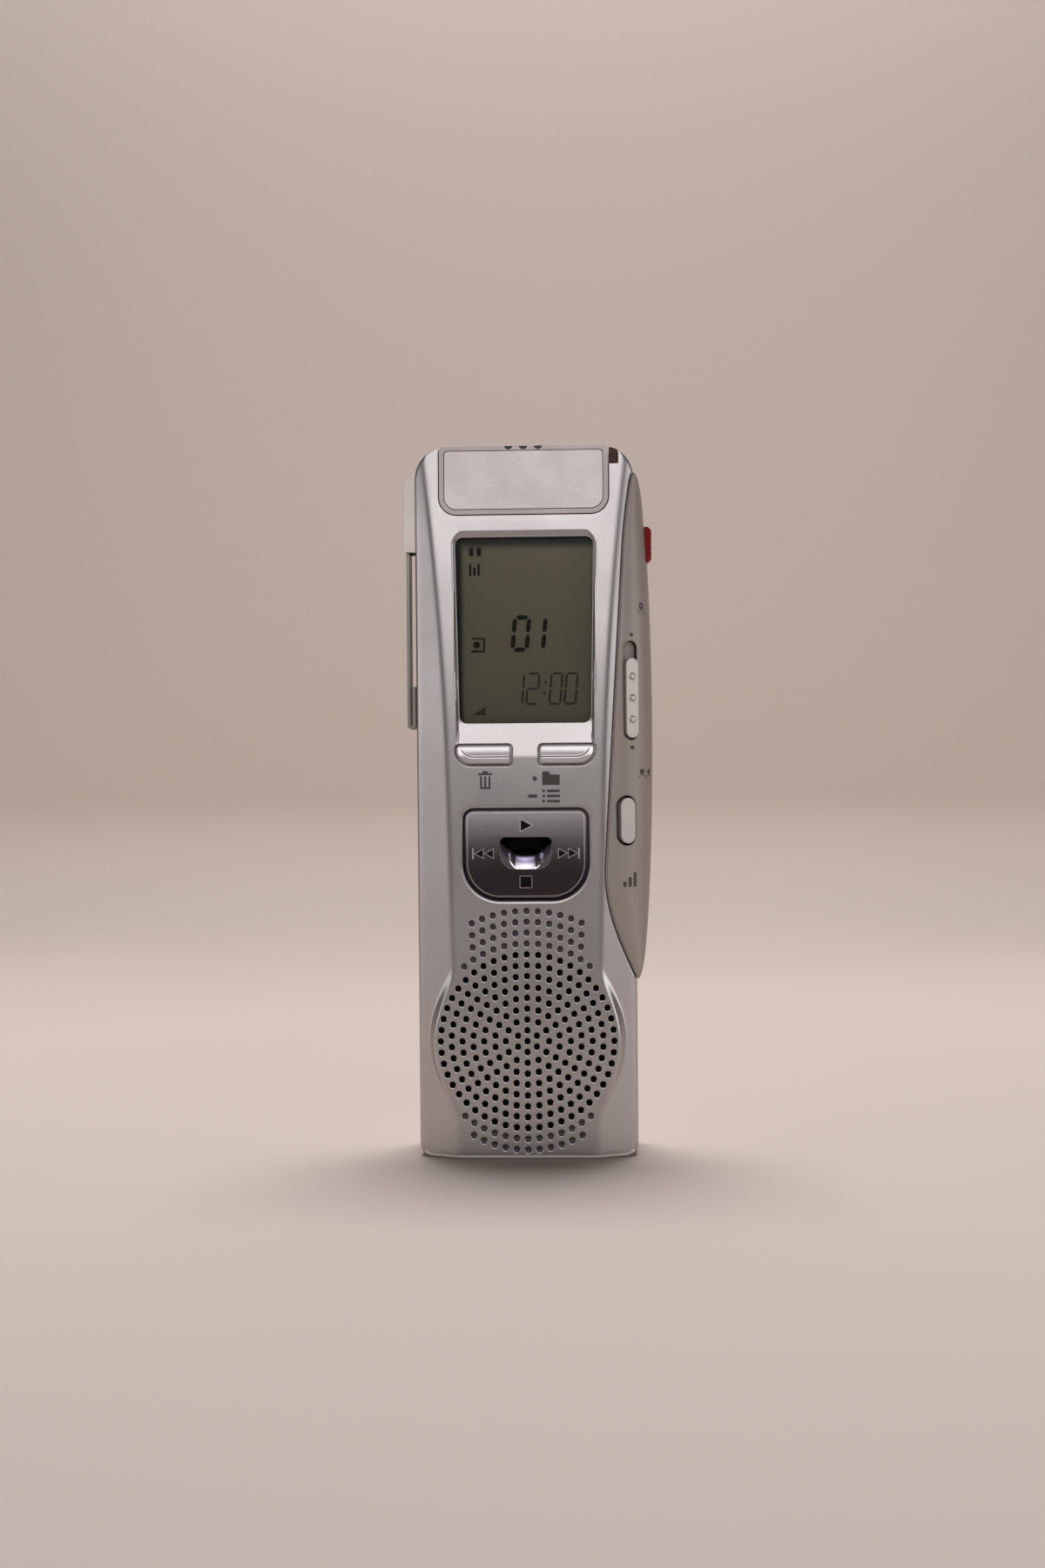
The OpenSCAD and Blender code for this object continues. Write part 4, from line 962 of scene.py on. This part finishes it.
def buildSidePanel():
    skin = Skin()
    low, high, rows = panel["foot"] + panel["tip"], panel["head"] - panel["tip"], panel["rows"]
    heights = low + (high - low) * (1 - np.cos(np.pi * np.arange(rows + 1) / rows)) / 2
    rim = panelRim(heights)
    loops = [slotLoops(slot) for slot in panelSlots.values()]
    holes = [outer for outer, inner in loops]
    gt, gz = np.meshgrid(np.arange(panel["turnStep"], 180, panel["turnStep"]), heights[1:-1])
    points = np.stack([gt.ravel() * panel["unit"], gz.ravel()], 1)
    for loop in holes:
        points = clearOf(points, loop, panel["slotMargin"])
    cover(skin, rim, holes, points, panelPoints)
    # front edge turned down into the gap
    last = list(range(rows + 1))
    base = np.array(skin.points[:rows + 1])
    leaf = leafShape(base[:, 2])
    edge = panel["edge"]
    turned = [(far, edge * down, 0.0) for far, down in quarterTurn(4)] + [(1.0, edge, panel["skirt"])]
    for far, down, skirt in turned:
        ring = skin.add(base + np.stack([-edge * far * leaf, down + skirt * leaf, 0 * leaf], 1))
        skin.strip(last, ring)
        last = ring
    # lips, walls and floors of the slots
    start = len(rim)
    for slot, (outer, inner) in zip(panelSlots.values(), loops):
        last = list(range(start, start + len(outer)))
        start += len(outer)
        top, foot = panelPoints(outer), panelPoints(inner)
        inward = np.append(slotFrame(slot)[2], 0.0)
        for far, down in quarterTurn(3):
            ring = skin.add(top + (foot - top) * far + inward * panel["slotEdge"] * down)
            skin.band(last, ring)
            last = ring
        end = foot + inward * slot["depth"]
        ring = skin.add(end)
        skin.coat = 1
        skin.band(last, ring)
        if slot["floor"]:
            skin.coat = 2
            skin.fan(ring, end.mean(0))
        skin.coat = 0
    piece = makePiece("sidePanel", skin, "case", "taupe black slotFloor", 50, ["side_panel"])
    thicken(piece, panel["wall"])
    print("side panel:", len(skin.points), "points")


buildSidePanel()


# Soft keys

def keyFace(points, scoopLoop):
    # the head follows the ramp, and a scoop leaves a rounded lip along the foot and the outer end
    z = points[:, 1]
    flat = shell["front"] - softKey["proud"]
    top = smoothMax(flat + 0 * z, flat + rampFall(z), softKey["creaseBlend"])
    gap, inside = loopDistance(points, scoopLoop)
    scoop = flat + softKey["drop"] * ease(0.5 + np.where(inside, gap, -gap) / softKey["scoopRun"])
    return smoothMax(top, scoop, softKey["scoopBlend"])


def buildSoftKey(side, node, name, body):
    skin = Skin()
    k = softKey
    loop = keyLoop(side, 0.0, k["step"])
    out = outward(loop)
    scoopLoop = loop + np.array([-side * k["scoopIn"], k["scoopUp"]])
    rim = loop - out * k["edge"]
    (x0, z0), (x1, z1) = loop.min(0), loop.max(0)
    gx, gz = np.meshgrid(np.arange(x0, x1, k["grid"]), np.arange(z0, z1, k["grid"]))
    inner = within(np.stack([gx.ravel(), gz.ravel()], 1), rim, k["gridMargin"])
    cover(skin, rim, [], inner, lambda flat: np.stack([flat[:, 0], keyFace(flat, scoopLoop), flat[:, 1]], 1))
    # rounded edge, wall, hidden flange and stem
    topY = keyFace(rim, scoopLoop)
    wide = loop + out * k["flange"]
    centre = np.array([side * k["across"], k["mid"]])
    ray = loop - centre
    stem = centre + ray / np.linalg.norm(ray, axis=1)[:, None] * k["stem"]
    rows = [(rim + out * k["edge"] * far, topY + k["edge"] * down) for far, down in quarterTurn(4)]
    rows += [(loop, k["flangeFront"]), (wide, k["flangeFront"]), (wide, k["flangeBack"]),
             (stem, k["flangeBack"]), (stem, k["stemEnd"])]
    last = list(range(len(rim)))
    for place, y in rows:
        ring = skin.lay(place, y)
        skin.band(ring, last)
        last = ring
    skin.fan(last[::-1], (centre[0], k["stemEnd"], centre[1]))
    makePiece(name, skin, body, "key", 55, [node])


buildSoftKey(-1, "erase_key", "eraseKey", "erase")
buildSoftKey(1, "menu_key", "menuKey", "menu")
print("soft keys built")


# Solids that keep their own shape, with rounded edges

softPieces = [  # node, piece, width of the rounding, body, finish, slot
    ("mic_cap", "micCap", 0.18, "case", "grey", "grey_paint"),
    ("name_plate", "namePlate", 0.08, "case", "plate", "bright_plate"),
    ("lamp_lens", "lampLens", 0.1, "case", "redLens", "red_lens"),
    ("mode_key", "modeKey", 0.3, "mode", "knob", "key_paint"),
    ("sens_knob", "sensKnob", 0.16, "sens", "knob", "key_paint"),
    ("rec_knob", "recKnob", 0.14, "rec", "red", "red_plastic"),
    # the pad's rounding wears the painted highlight finish
    ("four_way_pad", "fourWayPad", 0.17, "pad", "gunmetal edge", "gunmetal"),
    ("pad_dish", "padDish", 0.12, "pad", "dish", "chrome_dish"),
    ("clip_pod", "clipPod", 0.25, "case", "pod", "silver_paint"),
    ("clip_leaf", "clipLeaf", 0.1, "clip", "steel", "steel"),
    ("battery_door", "batteryDoor", 0.15, "door", "silver", "silver_paint"),
]
copies = {row[1]: softCopy(*row) for row in softPieces}

soundSlots = {"across": (-2.3, 0.0, 2.3), "half": 0.8, "foot": 109.4, "head": 110.15, "front": -8.75}


def shadeSlots(mesh):
    # the three sound slots in the cap's upper edge are painted black inside: painted shade
    s = soundSlots
    mesh.materials.append(finishes["black"])
    for face in mesh.polygons:
        corners = [mesh.vertices[i].co / mm for i in face.vertices]
        middle = face.center / mm
        if middle.z < s["head"] and middle.y > s["front"] and min(c.z for c in corners) > s["foot"]:
            if any(all(abs(c.x - x) < s["half"] for c in corners) for x in s["across"]):
                face.material_index = len(mesh.materials) - 1


shadeSlots(copies["micCap"].data)
print("rounded solids:", len(copies))

keptFinishes = {
    "rear_case": "silver", "lamp_led": "white", "display_window": "window", "lcd_holder": "white",
    "lcd_panel": "display", "zebra_strip": "rubber", "main_board": "board", "board_chips": "black",
    "dome_switches": "brass", "ball_seat": "white", "mode_switch": "black", "sens_switch": "black",
    "rec_switch": "black", "microphone": "steel", "mic_boot": "rubber", "speaker_gauze": "cloth",
    "speaker_frame": "grey", "speaker_magnet": "steel", "speaker_cone": "cloth", "earphone_jack": "black",
    "microphone_jack": "black", "battery_cell_left": "cell", "battery_cell_right": "cell",
    "battery_springs": "steel", "battery_plates": "steel", "case_screws": "steel", "clip_pin": "steel",
    "pad_ball": "steel",
}
for node, finish in keptFinishes.items():
    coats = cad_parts[node].data.materials
    coats.clear()
    coats.append(finishes[finish])
print("kept solids:", len(keptFinishes))


# Display figures and printed marks

def prism(skin, loop, front, back):
    # a flat figure with sides, drawn in X and Z and facing the viewer
    skin.slab([(x, front, z) for x, z in loop], [(x, back, z) for x, z in loop])


def circleLoop(x, z, r, count=20):
    return arcPoints(x, z, r, 0, 360, count)[:-1]


def boxLoop(x0, z0, x1, z1):
    return [(x0, z0), (x1, z0), (x1, z1), (x0, z1)]


def boxesAt(place, *boxes):
    # each box: how far right and up of the place it starts, its width and its height
    return [boxLoop(place[0] + x, place[1] + z, place[0] + x + w, place[1] + z + h) for x, z, w, h in boxes]


def drawnAt(place, points):
    return [(place[0] + x, place[1] + z) for x, z in points]


def roundBar(place, length, thick):
    r = thick / 2
    return drawnAt(place, arcPoints(length - r, r, r, -90, 90, 8) + arcPoints(r, r, r, 90, 270, 8))


display = {
    "face": -6.5, "ink": 0.03, "lift": 0.002, "slant": 0.09,
    "count": {"foot": 78.65, "width": 2.2, "height": 5.0, "bar": 0.7, "left": -1.95, "pitch": 2.55},
    "clock": {"foot": 70.2, "width": 1.7, "height": 4.7, "bar": 0.36, "left": -2.25, "pitch": 2.35},
    "colonTuck": 1.1, "colonDot": 0.22,
    "blocks": (-8.6, 93.3), "bars": (-8.6, 90.2), "roundSign": (-8.4, 78.3), "wedge": (-8.2, 68.5),
}
figures = {"0": "abcdef", "1": "bc", "2": "abged"}  # bars a to g that are lit


def segmentLoops(x, size, figure):
    # seven-bar figure with its foot left corner at x
    z, w, h, t = size["foot"], size["width"], size["height"], size["bar"]
    m, g = h / 2, t * 0.2

    def across(zc):
        return [(x + g + t / 2, zc - t / 2), (x + w - g - t / 2, zc - t / 2), (x + w - g, zc),
                (x + w - g - t / 2, zc + t / 2), (x + g + t / 2, zc + t / 2), (x + g, zc)]

    def upright(xc, z0, z1):
        return [(xc, z0 + g), (xc + t / 2, z0 + g + t / 2), (xc + t / 2, z1 - g - t / 2), (xc, z1 - g),
                (xc - t / 2, z1 - g - t / 2), (xc - t / 2, z0 + g + t / 2)]

    bars = {"a": across(z + h), "g": across(z + m), "d": across(z), "f": upright(x, z + m, z + h),
            "b": upright(x + w, z + m, z + h), "e": upright(x, z, z + m), "c": upright(x + w, z, z + m)}
    return [[(px + (pz - z) * display["slant"], pz) for px, pz in bars[k]] for k in figures[figure]]


def displayFigures(name, loops, finish):
    skin = Skin()
    for loop in loops:
        prism(skin, loop, display["face"] - display["ink"], display["face"] - display["lift"])
    makePiece(name, skin, "case", finish, 30)


# two large figures, and down the left edge two blocks, three bars and a round sign in a frame
count, clock = display["count"], display["clock"]
strong = []
for k, figure in enumerate("01"):
    strong += segmentLoops(count["left"] + k * count["pitch"], count, figure)
strong += boxesAt(display["blocks"], (0, 0, 0.7, 1.3), (1.2, 0, 0.7, 1.3))
strong += boxesAt(display["bars"], (0, 0, 0.35, 1.8), (0.65, 0, 0.35, 1.3), (1.3, 0, 0.35, 1.8))
strong += boxesAt(display["roundSign"], (0, 0, 2.2, 0.3), (1.9, 0.3, 0.3, 1.9), (0.2, 2.0, 1.7, 0.25))
strong += [drawnAt(display["roundSign"], circleLoop(0.9, 1.15, 0.55))]
# a clock with its colon, and a wedge
faint = []
for k, figure in enumerate("12:00"):
    x = clock["left"] + k * clock["pitch"] - (display["colonTuck"] if k > 2 else 0)
    if figure == ":":
        dots = (circleLoop(0.5, 1.7, display["colonDot"]), circleLoop(0.7, 3.4, display["colonDot"]))
        faint += [drawnAt((x, clock["foot"]), dot) for dot in dots]
    else:
        faint += segmentLoops(x, clock, figure)
faint += [drawnAt(display["wedge"], [(0, 0.1), (2.0, 0), (2.0, 1.3)])]
displayFigures("displayFigures", strong, "ink")
displayFigures("displayClock", faint, "faintInk")

faceSigns = {
    "proud": 0.012, "sunk": 0.03,
    "bin": (-7.3, 57.05), "dot": (1.45, 58.6), "dash": (0.35, 55.65), "sheet": (2.6, 57.6), "list": (2.6, 54.9),
}


def printedMarks():
    # ink on the front face: plain pictograms below the two keys
    skin = Skin()
    at = faceSigns
    # waste bin below the left key: slats, foot, lid and its grip
    loops = boxesAt(at["bin"], *[(x, 0.25, 0.3, 1.7) for x in (0.3, 0.95, 1.6)])
    loops += boxesAt(at["bin"], (0.3, 0, 1.6, 0.3), (0, 2.15, 2.2, 0.3), (0.7, 2.45, 0.8, 0.3))
    # dot, dash, tabbed sheet and list bars below the right key
    loops += [circleLoop(*at["dot"], 0.36), roundBar(at["dash"], 1.5, 0.5)]
    loops += boxesAt(at["sheet"], (0, 0, 2.7, 1.6))
    loops += [drawnAt(at["sheet"], [(0, 1.6), (1.3, 1.6), (1.0, 2.1), (0, 2.1)])]
    for up in (0, 0.8, 1.6):
        loops += boxesAt(at["list"], (0, up, 0.4, 0.4), (0.7, up, 2.0, 0.4))
    for loop in loops:
        y = float(frontY(*np.array(loop).T).min())
        prism(skin, loop, y - at["proud"], y + at["sunk"])
    makePiece("printedMarks", skin, "case", "print", 30)


printedMarks()

padSigns = {
    "play": (-0.9, 50.35), "stop": (-1.0, 41.75), "skip": (4.95, 46.25),
    "proud": 0.015, "sunk": 0.08, "rim": 0.11, "fillProud": 0.03, "fillSunk": 0.05, "narrow": 0.5,
}


def padFace(z):
    # bowed face of the four-way pad
    return pad["front"] + pad["bow"] - math.sqrt(pad["bow"] ** 2 - (z - pad["mid"]) ** 2)


def bowedPrism(skin, loop, proud, sunk):
    # a flat sign bent to the pad's bow
    skin.slab([(x, padFace(z) - proud, z) for x, z in loop], [(x, padFace(z) + sunk, z) for x, z in loop])


def padMarks():
    # engraved signs drawn with painted light: each is a bright figure, a painted highlight of the cut's edge,
    # with a smaller dark one on it, the painted shade inside the cut
    at = padSigns
    play = [drawnAt(at["play"], [(0, 0), (2.05, 1.05), (0, 2.15)])]
    stop = boxesAt(at["stop"], (0, 0, 1.95, 1.9))
    forward = [drawnAt(at["skip"], [(x, 0), (x + 1.5, 0.85), (x, 1.7)]) for x in (0, 1.55)]
    forward += boxesAt(at["skip"], (3.1, 0, 0.25, 1.7))
    back = [[(-x, z) for x, z in reversed(loop)] for loop in forward]
    rim, fill = Skin(), Skin()
    for loop in play + stop + forward + back:
        outline = np.array(loop)
        bowedPrism(rim, outline, at["proud"], at["sunk"])
        if np.ptp(outline[:, 0]) > at["narrow"]:
            bowedPrism(fill, outline - outward(outline) * at["rim"], at["fillProud"], at["fillSunk"])
    # painted highlight: a fine bright line round the pad's face, standing in for the light on its rounded edge
    loop = padLoop(0.0)
    (near, far), proud, sunk = pad["line"], pad["highlightLineProud"], pad["highlightLineSunk"]
    rows = []
    for inset, depth in ((near, -proud), (far, -proud), (far, sunk), (near, sunk)):
        place = loop - outward(loop) * inset
        rows.append(rim.lay(place, [padFace(z) + depth for z in place[:, 1]]))
    for first, second in zip(rows, rows[1:] + rows[:1]):
        rim.band(first, second)
    makePiece("padMarkPaintedHighlights", rim, "pad", "markRim", 30)
    makePiece("padMarks", fill, "pad", "mark", 30)


padMarks()

panelSigns = {  # turn and height of each sign
    "dots": ((22, 80.7), (28.5, 63.3)), "talker": (44, 84.5), "group": (56, 59.0), "bars": (33, 42.8),
    "proud": 0.015, "sunk": 0.05, "turnPerMm": 11.5,
}


def panelMarks():
    # dots beside the slide and plain signs along the panel, laid on its curve; X is millimetres across
    skin = Skin()
    at = panelSigns

    def lay(place, loops):
        for loop in loops:
            across, up = np.array(loop).T
            t, z = place[0] + across * at["turnPerMm"], place[1] + up
            x, y = panelPoint(t, z)
            ox, oy = panelPoint(t + 1, z)
            size = np.hypot(ox - x, oy - y)
            out = np.stack([(oy - y) / size, (x - ox) / size, 0 * z], 1)  # points out of the panel
            face = np.stack([x, y, z], 1)
            skin.slab(face + out * at["proud"], face - out * at["sunk"])

    dot = [circleLoop(0, 0, 0.3, 14)]
    talker = [circleLoop(0, 0.75, 0.5, 16), arcPoints(0, -0.6, 0.85, 0, 180, 12)]
    group = [[(x * 0.8 + dx, z * 0.8) for x, z in loop] for dx in (-0.75, 0.75) for loop in talker]
    bars = [boxLoop(x, -1.0, x + 0.42, top) for x, top in ((-1.05, -0.2), (-0.35, 0.5), (0.35, 1.2))]
    for place in at["dots"]:
        lay(place, dot)
    lay(at["talker"], talker)
    lay(at["group"], group)
    lay(at["bars"], bars)
    makePiece("panelMarks", skin, "case", "print", 30)


panelMarks()
print("figures and marks laid")


# Stage, light and camera

stage = {
    "near": -230.0, "far": 300.0, "bend": 420.0, "radius": 60.0, "top": (755.0, 1800.0), "half": 1600.0,
    "weaveScale": 900, "weave": 0.1, "driftScale": 3.0, "floorFade": 50.0, "wallFade": (60.0, 350.0),
    "floorTones": (hue(213, 199, 191), hue(219, 205, 197)), "wallTones": (hue(236, 221, 213), hue(216, 201, 193)),
}


def buildStage():
    # pale cloth-like floor that turns up into a backdrop
    skin = Skin()
    profile = [(stage["near"], 0.0), (stage["far"], 0.0)]
    profile += arcPoints(stage["bend"], stage["radius"], stage["radius"], -90, 0, 15) + [stage["top"]]
    left, right = (skin.add([(x, y, z) for y, z in profile]) for x in (-stage["half"], stage["half"]))
    skin.strip(left, right)
    mesh = skin.mesh("floor")
    mesh.polygons.foreach_set("use_smooth", [True] * len(mesh.polygons))
    floor = bpy.data.objects.new("floor", mesh)
    scene.collection.objects.link(floor)
    f = Finish("paleCloth")
    place = f.place()
    weave = f.noise(f.scaled(place, (stage["weaveScale"],) * 3), 1.0, 2.0)
    drift = f.noise(place, stage["driftScale"], 2.0)
    height = f.axis(place, 2)
    low, high = stage["wallFade"]
    tone = f.tint(f.swing(drift), *stage["floorTones"])
    wall = f.tint(f.between(height, low * mm, high * mm), *stage["wallTones"])
    tone = f.tint(f.between(height, 0.0, stage["floorFade"] * mm), tone, wall)
    mesh.materials.append(f.done(f.paint(colour=tone, rough=0.85, specular=0.1,
                                         normal=f.bump(weave, stage["weave"], 0.3))))
    return floor


floorGroup = bpy.data.collections.new("floorGroup")
floorGroup.objects.link(buildStage())
floorGroup.collection_objects[0].light_linking.link_state = "EXCLUDE"


studio = {"lampColour": (1.0, 0.995, 0.99), "skyColour": (1.0, 0.97, 0.95, 1), "skyPower": 0.08}


def areaLamp(name, place, aim, width, height, spread, power, onFloor=True):
    lamp = bpy.data.lights.new(name, "AREA")
    lamp.shape = "RECTANGLE"
    lamp.size = width * mm
    lamp.size_y = height * mm
    lamp.spread = math.radians(spread)
    lamp.energy = power
    lamp.color = studio["lampColour"]
    obj = bpy.data.objects.new(name, lamp)
    scene.collection.objects.link(obj)
    obj.location = Vector(place) * mm
    obj.rotation_euler = (Vector(aim) - Vector(place)).to_track_quat("-Z", "Y").to_euler()
    obj.visible_camera = False
    if not onFloor:  # flagged off the floor, so that its shadow stays deep
        obj.light_linking.receiver_collection = floorGroup


lamps = [  # name, place, aim, width, height, spread in degrees, power, whether it lights the floor
    ("overheadPanel", (0, 220, 900), (0, 0, 0), 460, 340, 180, 6.6),
    ("frontPanel", (0, -1100, 350), (0, 0, 60), 1200, 260, 70, 0.37, False),
    ("lowPanel", (0, -1100, 165), (0, 0, 60), 1200, 110, 70, 0.034, False),
    ("upperPanel", (0, -850, 660), (0, 0, 60), 1100, 480, 70, 0.56, False),
    ("leftPanel", (-900, -300, 130), (0, 0, 60), 1000, 260, 80, 0.24, False),
    ("rightPanel", (900, -300, 170), (0, 0, 60), 1000, 360, 80, 0.46, False),
    ("rearPanel", (0, 360, 620), (0, 0, 60), 1100, 400, 80, 0.25),
]
for lamp in lamps:
    areaLamp(*lamp)

world = bpy.data.worlds.new("studio")
scene.world = world
world.use_nodes = True
sky = world.node_tree.nodes["Background"]
sky.inputs["Color"].default_value = studio["skyColour"]
sky.inputs["Strength"].default_value = studio["skyPower"]

view = {
    "place": (14.45, -344.25, 56.38), "yaw": 2.544, "pitch": -0.24, "roll": -0.457,
    "focalPixels": 2500.0, "framePixels": 1800, "sensor": 36,
}


def placeCamera():
    camera = bpy.data.cameras.new("camera")
    camera.sensor_fit = "VERTICAL"
    camera.sensor_height = view["sensor"]
    camera.lens = view["focalPixels"] / view["framePixels"] * view["sensor"]
    camera.clip_start = 0.01
    obj = bpy.data.objects.new("camera", camera)
    scene.collection.objects.link(obj)
    yaw, pitch, roll = (math.radians(view[k]) for k in ("yaw", "pitch", "roll"))
    ahead = Vector((-math.sin(yaw) * math.cos(pitch), math.cos(yaw) * math.cos(pitch), -math.sin(pitch)))
    right = Vector((math.cos(yaw), math.sin(yaw), 0))
    up = right.cross(ahead)
    across = right * math.cos(roll) + up * math.sin(roll)
    upward = up * math.cos(roll) - right * math.sin(roll)
    turn = Matrix((across, upward, -ahead)).transposed()
    obj.matrix_world = Matrix.Translation(Vector(view["place"]) * mm) @ turn.to_4x4()
    scene.camera = obj


placeCamera()
print("stage, lamps and camera placed")
